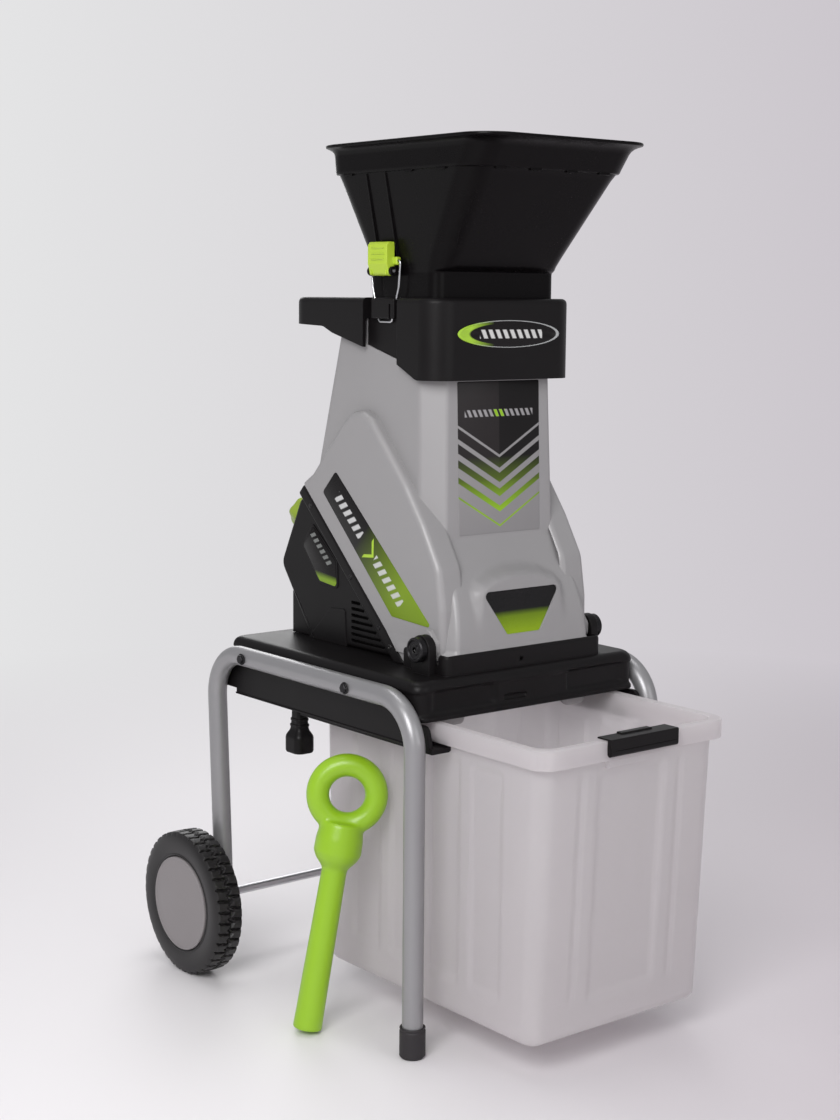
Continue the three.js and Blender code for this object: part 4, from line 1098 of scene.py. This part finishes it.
def collar():
    """A rounded band that sweeps back and up into a carrying handle."""
    low, high = span("collar")
    x, front, rear, top = high[0], low[1], high[1], high[2]
    levels = [(0, 800), (0, top - 7), (0.5, top - 4.4), (1.6, top - 2.4), (3.4, top - 0.9),
              (5.6, top - 0.1), (7, top)]
    body = loft("band", [round_ring(x - i, front + i, rear - i, 34 - i, z, 14) for i, z in levels])
    underside = [(front - 30, low[2]), (-62, low[2]), (-40, 849), (-16, 860), (39, 875), (117, 894.5),
                 (138, 903), (rear - 10, 905.5), (rear + 1, 913), (rear + 30, 917), (rear + 30, 780),
                 (front - 30, 780)]
    under = prism("under", fillet(underside, [0, 20, 20, 30, 60, 24, 24, 9, 6, 0, 0, 0], 6), "x", -160, 160)
    body = cut(body, under)
    hollow = loft("hollow", [round_ring(x - 5, front + 5, 150, 29, z, 10) for z in (790, 915)])
    x0, front0, rear0 = NECK.values()
    seat_z = (span("hopper")[0][2] - 0.3, top + 30)
    seat = loft("seat", [round_ring(x0 + 0.6, front0 - 0.6, rear0 + 0.6, 16, z, 10) for z in seat_z])
    throat = loft("throat", [round_ring(x0 - 6, front0 + 6, rear0 - 6, 12, z, 10) for z in (780, top + 30)])
    hand = loft("hand", [round_ring(62, 148, 194, 16, z, 8) for z in (860, top + 30)])
    channels = [block("channel", mirrored(s, 106, 150), (-23, 49), (820, top + 30)) for _, s in SIDES]
    body = cut(body, hollow, throat, seat, hand, *channels)
    extras = []
    for _, s in SIDES:
        catch = block("catch", mirrored(s, 105, 117), (-11, 37), (914.3, top - 1), 2.2)
        groove = block("groove", mirrored(s, 112, 125), (-4.4, -0.6), (900, top - 8), 1.2)
        lining = block("lining", mirrored(s, 103.8, 106.6), (-29, 55), (914.3, top - 0.5), 0.6)
        view = [(a, b - 1.2 if b < 900 else 915) for a, b in RECESS]
        backing = prism("backing", view, "x", *mirrored(s, 105.6, 108.2))
        extras += [cut(catch, groove), lining, backing]
    body = round_edges(join(body, *extras), 1.3, 3, 38)
    mount(body, "collar", "collar_moulding")


def collar_emblem():
    """A plain oval emblem, bowed a little with its raised rim."""
    centre, half_x, half_z = (2.0, 896.5), 86.0, 17.5
    face = span("collar")[0][1]
    section = [(1.0, -0.8), (1.0, 0.9), (0.985, 1.3), (0.95, 1.3), (0.935, 0.8), (0.5, 1.2), (0.02, 1.3)]
    rings = []
    for share, height in section:
        ring = []
        for turn in angles(72):
            ring.append((centre[0] + half_x * share * math.cos(turn), face - height,
                         centre[1] + half_z * share * math.sin(turn)))
        rings.append(ring)
    finish = emblem_finish(centre, half_x, half_z)
    add_detail(loft("collar_emblem", rings), "collar_emblem", "badge", "upper_housing", finish)


def hopper():
    """A square neck under a funnel, with a step below its rim and an out-turned lip."""
    low, high = span("hopper")
    rim_x, rim_front, rim_rear, top = high[0], low[1], high[1], high[2]
    n = NECK
    # Half-width, front y, rear y, corner radius and height, from the neck's foot to the lip.
    outer = [(n["x"], n["front"], n["rear"], 16, low[2]), (n["x"], n["front"], n["rear"], 16, 972),
             (n["x"] + 0.2, -79, n["rear"] + 0.3, 17, 974.4), (n["x"] + 0.6, -83, n["rear"] + 0.8, 20, 976.2),
             (n["x"] + 1, -87.6, n["rear"] + 1.6, 24, 978.4), (n["x"] + 1.6, -91, n["rear"] + 2.4, 27, 982.4),
             (107.4, -101.8, 70, 30, 996), (126.8, -171, 109, 34, 1090), (128.4, -177.6, 112.4, 34, 1097.2),
             (128.8, -178.8, 113, 34, 1098.6), (131.4, -182.2, 116, 35.4, 1099.2),
             (132.2, -183.6, 117, 36, 1100.6), (132.4, -184.8, 117.3, 36, 1103),
             (133.2, -198.4, 118.8, 36, 1122.6), (134, -202.2, 120, 36.6, 1126.6),
             (136.2, -207.2, 122.6, 38.6, 1129.6), (139.6, -212.6, 126, 41.6, 1131.6),
             (rim_x - 0.6, rim_front + 0.6, rim_rear - 0.6, 44, 1133),
             (rim_x, rim_front, rim_rear, 44, 1134.4),
             (rim_x - 0.2, rim_front + 0.2, rim_rear - 0.2, 44, 1136.2),
             (rim_x - 1.4, rim_front + 1.4, rim_rear - 1.4, 43, top)]
    inner = [(rim_x - 7, rim_front + 7, rim_rear - 7, 38, top - 0.2), (131.4, -205, 117.4, 34, 1134.4),
             (130.2, -198, 116.2, 33, 1126), (129.2, -181.4, 114, 33, 1102), (126, -176, 110.4, 31, 1098.4),
             (105.2, -100, 68.4, 24, 998), (n["x"] - 3, -76, n["rear"] - 3, 15, 974),
             (n["x"] - 3, n["front"] + 3, n["rear"] - 3, 13, 969),
             (n["x"] - 3, n["front"] + 3, n["rear"] - 3, 13, low[2])]
    rings = [round_ring(x, y0, y1, r, z, 10, 10, 10) for x, y0, y1, r, z in outer + inner]
    body = loft("funnel", rings, loop=True, sharp=30)
    extras = []
    for _, s in SIDES:
        for y in (-9, 30):
            fin = [(s * (n["x"] - 1), 978), (s * (n["x"] + 5.5), 986), (s * 130.2, 1097), (s * 126, 1099)]
            extras.append(round_edges(prism("fin", fin, "y", y, y + 2.6), 0.7, 2))
        for y0 in (-12, 33.3):
            eye = lathe("eye", rounded_profile([(0, y0), (6, y0), (6, y0 + 4.7), (0, y0 + 4.7)], 0.6, 2), "y",
                        (s * LATCH_PIN["x"], 0, LATCH_PIN["z"]), 28)
            arm = block("arm", mirrored(s, n["x"] - 1.5, LATCH_PIN["x"]), (y0 + 0.1, y0 + 4.6),
                        (969.2, 980.8), 0.6, 2)
            extras += [eye, arm]
        for y in (-120, -56, 68):
            extras.append(block("tab", mirrored(s, 127, 132.2), (y - 9, y + 9), (1096.6, 1099.8), 0.9, 2))
    for x in (-86, -30, 30, 86):
        extras.append(block("tab", (x - 9, x + 9), (-183, -176), (1096.6, 1099.8), 0.9, 2))
        extras.append(block("tab", (x - 9, x + 9), (111, 117), (1096.6, 1099.8), 0.9, 2))
    body = join(body, *extras)
    pins = [lathe("pin", [(0, -24), (2.3, -24), (2.3, 50), (0, 50)], "y",
                  (s * LATCH_PIN["x"], 0, LATCH_PIN["z"]), 16) for _, s in SIDES]
    body = cut(body, *pins)
    mount(body, "hopper", "hopper_moulding")


# ---------------------------------------------------------------- latches, knob and controls
def latch(name, s):
    """A green over-centre lever with grip bars, and its wire bail."""
    y0, y1 = -7.0, 33.0
    view = [(112.2, 1012), (112.2, 980), (119, 972), (122.6, 974), (125.6, 984), (125.6, 1008), (122, 1012)]
    view = fillet([(s * a, b) for a, b in view], [1.5, 1, 2, 3, 4, 3, 2], 5)
    pad = round_edges(prism("pad", view, "y", y0, y1), 1.8, 3)
    foot = lathe("foot", rounded_profile([(0, y0), (6, y0), (6, y1), (0, y1)], 0.8, 2), "y",
                 (s * LATCH_PIN["x"], 0, LATCH_PIN["z"]), 28)
    web = block("web", mirrored(s, 111.6, 123), (y0 + 0.1, y1 - 0.1), (974, 985), 1.4)
    ears = [block("ear", mirrored(s, 106.8, 115), sorted((a, b)), (982.5, 993), 2.2)
            for a, b in ((y0 - 7, y0 + 3), (y1 - 3, y1 + 7))]
    bars = [block("bar", mirrored(s, 124, 126.9), (y0 + 5, y1 - 8), (z, z + 1.6), 0.6, 2)
            for z in (989, 996, 1003)]
    hooks = [block("hook", mirrored(s, 120, 124.6), (y, y + 2.4), (970, 977.5), 0.8, 2)
             for y in (y0 + 3, y1 - 6)]
    lever = join(pad, foot, web, *ears, *bars, *hooks)
    holes = [lathe("hole", [(0, -26), (2.35, -26), (2.35, 52), (0, 52)], "y",
                   (s * LATCH_PIN["x"], 0, LATCH_PIN["z"]), 16),
             lathe("hole", [(0, -26), (2.1, -26), (2.1, 52), (0, 52)], "y", (s * 111, 0, 988), 16)]
    lever = cut(lever, *holes)
    mount(lever, "latch_lever_" + name, "latch_lever_" + name + "_grip")
    low, high = span("latch_bail_" + name)
    r = (high[0] - low[0]) / 2
    x = (high[0] + low[0]) / 2
    z0, z1 = low[2] + r, high[2] - r
    a, b = low[1] + r, high[1] - r
    corners = [(x, a + 8, z1), (x, a, z1), (x, a + 3, z1 - 34), (x, a + 17, z0), (x, b - 17, z0),
               (x, b - 3, z1 - 34), (x, b, z1), (x, b - 8, z1)]
    path = fillet(corners, [0, 3.5, 14, 5, 5, 14, 3.5, 0], 8, closed=False)
    mount(sweep("latch_bail_" + name + "_wire", path, r, 20, sharp=50), "latch_bail_" + name)


def lock_knob():
    """A six-lobed knob with a domed cap."""
    profile = [(0.92, 6.3), (0.98, 7.2), (1.0, 9), (0.98, 16), (0.95, 24), (0.91, 27.4), (0.83, 29.4),
               (0.7, 30.2), (0.5, 30.3), (0.42, 29.6), (0.3, 29.4), (0.0, 29.4)]
    rings = []
    for share, h in [(0.0, 6.3)] + profile:
        ring = []
        for turn in angles(96):
            lobe = 23.4 + 1.5 * math.cos(6 * turn) * float(smooth(share, 0.5, 0.85))
            ring.append((lobe * share * math.cos(turn), lobe * share * math.sin(turn), h))
        rings.append(ring)
    grip = loft("grip", rings, caps=False)
    stud = lathe("stud", [(0, -22), (3.4, -22), (4, -21), (4, 8), (0, 8)], "z", (0, 0, 0), 24)
    obj = moved(join(grip, stud), knob_frame())
    # The knob's green is taken darker than the latch green: its own green with painted shade for the shadow
    # it sits in.
    green = Paint("knob_green_painted_shade").finish(srgb(136, 158, 50), 0.36, grain=0.7, bump=0.06, mottle=0.04, wear=0.2,
                                       worn=srgb(190, 206, 110))
    mount(obj, "lock_knob", "lock_knob_grip", green)


def hinge_pin(name, s):
    """A pin with a wide, dished round head and a hexagon socket."""
    node = "hinge_pin_" + name
    at, r, tail, tip = turned_part(node)
    profile = [(0, tail), (4, tail), (4, tip - 9.7), (r, tip - 9.7), (r, tip - 1.6), (r - 1.4, tip - 0.2),
               (r - 2.8, tip), (r - 3.8, tip - 0.8), (r - 4.4, tip - 2.2), (7.2, tip - 2.4),
               (6.6, tip - 1.2), (0, tip - 1.2)]
    obj = lathe(node + "_head", profile, "x", at, 56, s)
    socket = lathe("socket", [(0, tip - 5), (4.4, tip - 5), (4.4, tip + 2), (0, tip + 2)], "x", at, 6, s)
    mount(cut(obj, socket), node)


def power_lead():
    """The short lead with its strain relief, and the shrouded plug inlet with side grips."""
    low, high = span("power_cord")
    x, y = (low[0] + high[0]) / 2, (low[1] + high[1]) / 2
    profile = [(0, low[2]), (4, low[2])]
    for k in range(5):
        z = low[2] + 4 + 5 * k
        profile += [(5.4 - 0.2 * k, z), (5.4 - 0.2 * k, z + 3), (4.1, z + 3.4), (4.1, z + 4.6)]
    profile += [(4, low[2] + 32), (4, high[2]), (0, high[2])]
    mount(lathe("power_cord_sleeve", profile, "z", (x, y, 0), 28), "power_cord")
    low, high = span("power_plug")
    half_x, half_y = (high[0] - low[0]) / 2, (high[1] - low[1]) / 2
    base, tall = low[2], high[2] - low[2]
    levels = [(0.92, 0.93, 0.0), (0.97, 0.97, 1.2), (1.0, 1.0, 3), (1.0, 1.0, 20), (0.97, 0.97, 23),
              (0.84, 0.86, 26.5), (0.7, 0.72, 30), (0.65, 0.67, 32.5), (0.63, 0.65, 35), (0.68, 0.69, 36),
              (0.68, 0.69, 38.5), (0.6, 0.62, 39.5), (0.59, 0.6, 43), (0.64, 0.64, 44), (0.64, 0.64, 46.5),
              (0.56, 0.57, 47.5), (0.54, 0.55, tall)]
    outer = []
    for a, b, z in levels:
        w, d = half_x * a, half_y * b
        ring = round_ring(w, -d, d, min(w, d) * 0.66, base + z, 8)
        outer.append([p + np.array((x, y, 0)) for p in ring])
    inner = []
    for z in (20.0, -1.0):
        ring = round_ring(half_x - 3, -half_y + 3.4, half_y - 3.4, 7, base + z, 8)
        inner.append([p + np.array((x, y, 0)) for p in ring])
    plug = cut(loft("plug", outer), loft("socket", inner))
    pins = [lathe("pin",
                  [(0, base + 6), (1.6, base + 6), (2.2, base + 7.4), (2.2, base + 26), (0, base + 26)],
                  "z", (x, y + d, 0), 16) for d in (-8, 0, 8)]
    plug = join(plug, *pins)
    mount(plug, "power_plug", "power_plug_shroud")


# ---------------------------------------------------------------- bin and clip
BIN_WALL = 3.0
BIN_FLOOR = 42.0


def trough(at, centre, half, soft=6.0):
    """1 inside a band round the centre, easing to 0 over `soft` outside it."""
    return float(smooth(abs(at - centre), half + soft, half))


def bin_ring(x, y0, y1, r, z, depth):
    """A bin wall's plan at height z, with pressed-in panels of the given depth."""
    steps, across, along = 10, 56, 92
    ring = round_ring(x, y0, y1, r, z, steps, across, along)
    middle = (y0 + y1) / 2
    out = []
    for point in ring:
        a, b, c = point
        straight_y = float(smooth(abs(b - middle), (y1 - y0) / 2 - r, (y1 - y0) / 2 - r - 8))
        straight_x = float(smooth(abs(a), x - r, x - r - 8))
        if abs(a) > x - 0.5:
            press = sum(trough(b - middle, centre, 25) for centre in (-120, -40, 40, 120)) * straight_y
            a -= math.copysign(depth * press, a)
        elif abs(b - middle) > (y1 - y0) / 2 - 0.5:
            press = trough(a, 0, 52) + 0.7 * sum(trough(a, centre, 2, 3) for centre in (-84, 84))
            b -= math.copysign(depth * press * straight_x, b - middle)
        out.append((a, b, c))
    return out


def bin_wall(z, inset):
    """Half-width, front, rear and corner radius of the wall at height z."""
    rows = [(BIN_FLOOR, 139.5, -319.5, 82, 16), (BIN_FLOOR + 8, 147.5, -327.5, 90, 22),
            (419, 149.5, -344.5, 99.5, 24)]
    table = np.array(rows, float)
    values = [np.interp(z, table[:, 0], table[:, k]) for k in range(1, 5)]
    round_off = 8 * (1 - float(smooth(z, BIN_FLOOR - 2, BIN_FLOOR + 16)))
    inset = inset + 0.25 * round_off
    return values[0] - inset, values[1] + inset, values[2] - inset, values[3] - inset


def bin_tub():
    """The milky tub: pressed-in panels, a rounded floor edge and a hollow skirt round the rim."""
    low, high = span("bin")
    floor, top = low[2], high[2]

    def press(z):
        return 3.4 * float(smooth(z, floor + 40, floor + 58)) * float(smooth(z, top - 34, top - 50))

    heights = [floor + 0.2, floor + 1.2, floor + 3, floor + 6, floor + 10, floor + 16, floor + 24, floor + 34]
    heights += list(np.linspace(floor + 40, floor + 60, 8)) + list(np.linspace(floor + 75, top - 55, 12))
    heights += list(np.linspace(top - 50, top - 32, 8))
    rings = []
    for inset, z in ((9.0, floor), (5.5, floor)):
        x, y0, y1, r = bin_wall(floor, inset)
        rings.append(bin_ring(x, y0, y1, r, z, 0))
    for z in heights:
        early = 4.0 * float(smooth(z, floor + 5, floor))
        x, y0, y1, r = bin_wall(z, early)
        rings.append(bin_ring(x, y0, y1, r, z, press(z)))
    x, y0, y1, r = bin_wall(top, 0)
    skirt_low = 394.6
    for out, z in ((0, top - 7), (1.2, top - 5.6), (7.8, top - 5.6), (8, skirt_low + 1), (8.5, skirt_low),
                   (10, skirt_low), (10.5, skirt_low + 0.8), (10.5, top - 3), (9.9, top - 1), (8.3, top),
                   (-1.2, top), (-2.6, top - 0.8), (-3, top - 2.6)):
        rings.append(bin_ring(x + out, y0 - out, y1 + out, r + out * 0.3, z, 0))
    for z in list(reversed(heights))[:-3]:
        x, y0, y1, r = bin_wall(z, BIN_WALL)
        rings.append(bin_ring(x, y0, y1, r, z, press(z)))
    for inset, z in ((6.5, floor + 4.2), (12, floor + 3)):
        x, y0, y1, r = bin_wall(floor + 6, inset)
        rings.append(bin_ring(x, y0, y1, r, z, 0))
    tub = loft("tub", rings, sharp=45)
    rest = block("rest", (-48, 26), (-350, -341), (383, 396.5), 1.2, 2)
    mount(join(tub, rest), "bin", "bin_tub")


def bin_clip():
    """A thin black angle over the rim: hinge barrel, front plate, top flange and a raised rear tab."""
    low, high = span("bin_clip")
    half, front, rear = high[0], low[1], high[1]
    y, z, r = front + 3.7, low[2] + 3.6, 3.6
    top = high[2] - 2
    view = [(front, z), (front, top), (rear, top), (rear, top - 2.3), (y + 3.6, top - 2.3), (y + 3.6, z)]
    bar = round_edges(prism("bar", fillet(view, [0, 1.6, 1.1, 1.1, 0.6, 0], 4), "x", -half, half), 0.6, 2)
    barrel = lathe("barrel", rounded_profile([(0, -half), (r, -half), (r, half), (0, half)], 0.6), "x",
                   (0, y, z), 28)
    tab = block("tab", (-26, 26), (rear - 10, rear), (top - 1, high[2]), 1.2, 3)
    groove = block("groove", (-half + 6, half - 6), (front - 3, front + 0.8), (z + 3.4, z + 4.8), 0.5, 2)
    obj = cut(join(bar, barrel, tab), groove)
    mount(obj, "bin_clip", "bin_clip_bar")


# ---------------------------------------------------------------- tamper
def tamper():
    """A tapered shaft that swells into a neck and a ring, blended as one moulding."""
    tip, eye = Vector((-261, -24, 1.5)), Vector((-200, -27, 303))
    ring_r, tube_r = 38.0, 15.0
    up = eye - tip
    length = up.length
    reach = length - ring_r
    profile = [(0, 0), (17.4, 0), (18.9, 1.6), (18.9, 4), (18.4, 30), (16.4, reach - 62), (17.2, reach - 58),
               (27, reach - 46.5), (31, reach - 38), (30.6, reach - 20), (28.6, reach - 8), (27, reach + 2),
               (0, reach + 4)]
    rod = lathe("rod", profile, "z", (0, 0, 0), 72)
    turn = Matrix.Rotation(math.radians(-38), 3, "Z")
    rings = []
    for a in angles(96):
        ring = []
        for b in angles(36):
            out = ring_r + tube_r * math.cos(b)
            ring.append(turn @ Vector((out * math.cos(a), tube_r * math.sin(b), out * math.sin(a)))
                        + Vector((0, 0, length)))
        rings.append(ring)
    loop = loft("loop", rings, loop=True)
    obj = join(rod, loop)
    step = obj.modifiers.new("even", "REMESH")
    step.mode = "VOXEL"
    step.voxel_size = 1.8 * MM
    bake(obj, 60)
    blend_from = (reach - 30) * MM
    group = obj.vertex_groups.new(name="blend")
    for vertex in obj.data.vertices:
        weight = float(smooth(vertex.co.z, blend_from - 0.05, blend_from + 0.02))
        group.add([vertex.index], 0.12 + 0.88 * weight, "REPLACE")
    step = obj.modifiers.new("soft", "SMOOTH")
    step.iterations = 14
    step.factor = 0.5
    step.vertex_group = "blend"
    bake(obj, 60)
    lean = Vector((0, 0, 1)).rotation_difference(up.normalized())
    lowest = 19 * math.sin(up.angle(Vector((0, 0, 1))))
    obj = moved(obj, Matrix.Translation(tip + Vector((0, 0, lowest))) @ lean.to_matrix().to_4x4())
    mount(obj, "tamper", "tamper_moulding")


# ---------------------------------------------------------------- the object
EDGE_WIDTH = {"switch_box": 1.6, "power_switch": 0.8, "reset_button": 1.0, "motor_stator": 0.8,
              "bearing_upper": 0.5, "bearing_lower": 0.5, "rotor_core": 0.6, "rotor_shaft": 0.6,
              "cooling_fan": 0.3, "cutter_disc": 0.6, "blade_a": 0.4, "blade_b": 0.4, "blade_bolt_a1": 0.4,
              "blade_bolt_a2": 0.4, "blade_bolt_b1": 0.4, "blade_bolt_b2": 0.4, "disc_nut": 0.6, "anvil": 0.5}


def build():
    for name, s in SIDES:
        side_frame(name)
        foot(name)
        for place in ("front", "rear"):
            hex_bolt(f"frame_bolt_{name}_{place}", s)
        tyre(name, s)
        wheel_hub(name, s)
        hub_cap(name, s)
        bin_rail(name, s)
        latch(name, s)
        hinge_pin(name, s)
        refine("axle_nut_" + name, 0.8)
        refine("latch_pin_" + name, 0.3)
    axle()
    base_deck()
    refine("chip_chute", 0.6)
    motor_housing()
    flange_screws()
    rear_cover()
    housing_marks()
    tower_shell()
    tower_lugs()
    badge()
    tower_films()
    collar()
    collar_emblem()
    hopper()
    lock_knob()
    power_lead()
    bin_tub()
    bin_clip()
    tamper()
    for node, width in EDGE_WIDTH.items():
        refine(node, width)


# ---------------------------------------------------------------- floor, light and camera
# Left and right colours of the surround; the right one is darker as painted shade, for the light falling off
# across the backdrop.
SURROUND_PAINTED_FALLOFF = (srgb(228, 228, 229), srgb(204, 199, 205))


def studio():
    """A pale floor, darker towards the right as painted shade, that fades into a pale surround which is also
    darker towards the right as painted shade.
    """
    scene = bpy.context.scene
    scene.view_settings.view_transform = "Standard"
    world = bpy.data.worlds.new("studio")
    scene.world = world
    world.use_nodes = True
    sky = Nodes(world.node_tree)
    sky.tree.nodes.clear()
    window = sky.add("ShaderNodeTexCoord").outputs["Window"]
    across = sky.add("ShaderNodeSeparateXYZ", {0: window}).outputs[0]
    seen = sky.add("ShaderNodeBackground", {0: sky.mix(across, *SURROUND_PAINTED_FALLOFF)}).outputs[0]
    lit = sky.add("ShaderNodeBackground", {0: (0.93, 0.93, 0.96, 1), 1: 0.42}).outputs[0]
    to_camera = sky.add("ShaderNodeLightPath").outputs["Is Camera Ray"]
    sky.add("ShaderNodeOutputWorld",
            {0: sky.add("ShaderNodeMixShader", {0: to_camera, 1: lit, 2: seen}).outputs[0]})

    rings = [[(r * math.cos(a), r * math.sin(a), 0) for a in angles(96)] for r in (1, 1500, 3000, 30000)]
    floor = loft("floor", rings, caps=False)
    p = Paint("studio_floor")
    p.feed(p.shader, "Roughness", 0.55)
    p.feed(p.shader, "Specular IOR Level", 0.25)
    x, y, _ = p.axes()
    reach = p.math("SQRT", p.math("ADD", p.math("MULTIPLY", x, x), p.math("MULTIPLY", y, y)))
    window = p.tree.nodes["Texture Coordinate"].outputs["Window"]
    across = p.add("ShaderNodeSeparateXYZ", {0: window}).outputs[0]
    # Painted shade: the floor's own colour darkens towards the right of the view, standing in for the light
    # falling off there.
    painted_floor_shade = p.mix(p.ramp(across, 0.45, 1), srgb(232, 229, 231), srgb(206, 199, 204))
    p.feed(p.shader, "Base Color", painted_floor_shade)
    # Far off, the floor turns into a glow in the surround's colours, which carry the painted shade towards
    # the right.
    surround_glow = p.add("ShaderNodeEmission", {"Color": p.mix(across, *SURROUND_PAINTED_FALLOFF)}).outputs[0]
    fade = p.ramp(reach, 1100, 2600)
    mixed = p.add("ShaderNodeMixShader", {0: fade, 1: p.shader.outputs[0], 2: surround_glow}).outputs[0]
    p.feed(p.tree.nodes["Material Output"], "Surface", mixed)
    floor.data.materials.append(p.material)


def softbox(name, place, target, size, power):
    """A square area light at place, aimed at target, both in millimetres."""
    data = bpy.data.lights.new(name, "AREA")
    data.shape = "SQUARE"
    data.size = size * MM
    data.energy = power
    lamp = bpy.data.objects.new(name, data)
    bpy.context.scene.collection.objects.link(lamp)
    lamp.location = Vector(place) * MM
    lamp.rotation_euler = (Vector(target) - Vector(place)).to_track_quat("-Z", "Y").to_euler()


# Name, place, what it is aimed at, size and power of each soft light.
LIGHTS = [("key", (-2300, -1500, 2100), (0, 0, 600), 1500, 64),
          ("front_fill", (300, -2900, 1500), (0, 0, 600), 1800, 13),
          ("top", (100, 300, 3000), (0, 0, 500), 1600, 26),
          ("rear_fill", (1500, 2600, 1700), (0, 0, 600), 1600, 20)]


CAMERA = {"place": (-1599.4, -1918.5, 941.3), "yaw": 38.72, "pitch": 7.96, "roll": 0.48, "lens": 60.25}


def camera():
    """The viewpoint: yaw from +Y towards +X, pitch downwards, a slight roll."""
    data = bpy.data.cameras.new("camera")
    data.sensor_fit = "AUTO"
    data.sensor_width = 36
    data.lens = CAMERA["lens"]
    data.clip_start, data.clip_end = 0.05, 100
    eye = bpy.data.objects.new("camera", data)
    bpy.context.scene.collection.objects.link(eye)
    yaw, pitch, roll = (math.radians(CAMERA[k]) for k in ("yaw", "pitch", "roll"))
    forward = Vector((math.sin(yaw) * math.cos(pitch), math.cos(yaw) * math.cos(pitch), -math.sin(pitch)))
    right = Vector((math.cos(yaw), -math.sin(yaw), 0))
    up = right.cross(forward)
    right, up = right * math.cos(roll) + up * math.sin(roll), up * math.cos(roll) - right * math.sin(roll)
    turn = Matrix((right, up, -forward)).transposed()
    eye.matrix_world = Matrix.Translation(Vector(CAMERA["place"]) * MM) @ turn.to_4x4()
    bpy.context.scene.camera = eye


build()
studio()
for light in LIGHTS:
    softbox(*light)
camera()
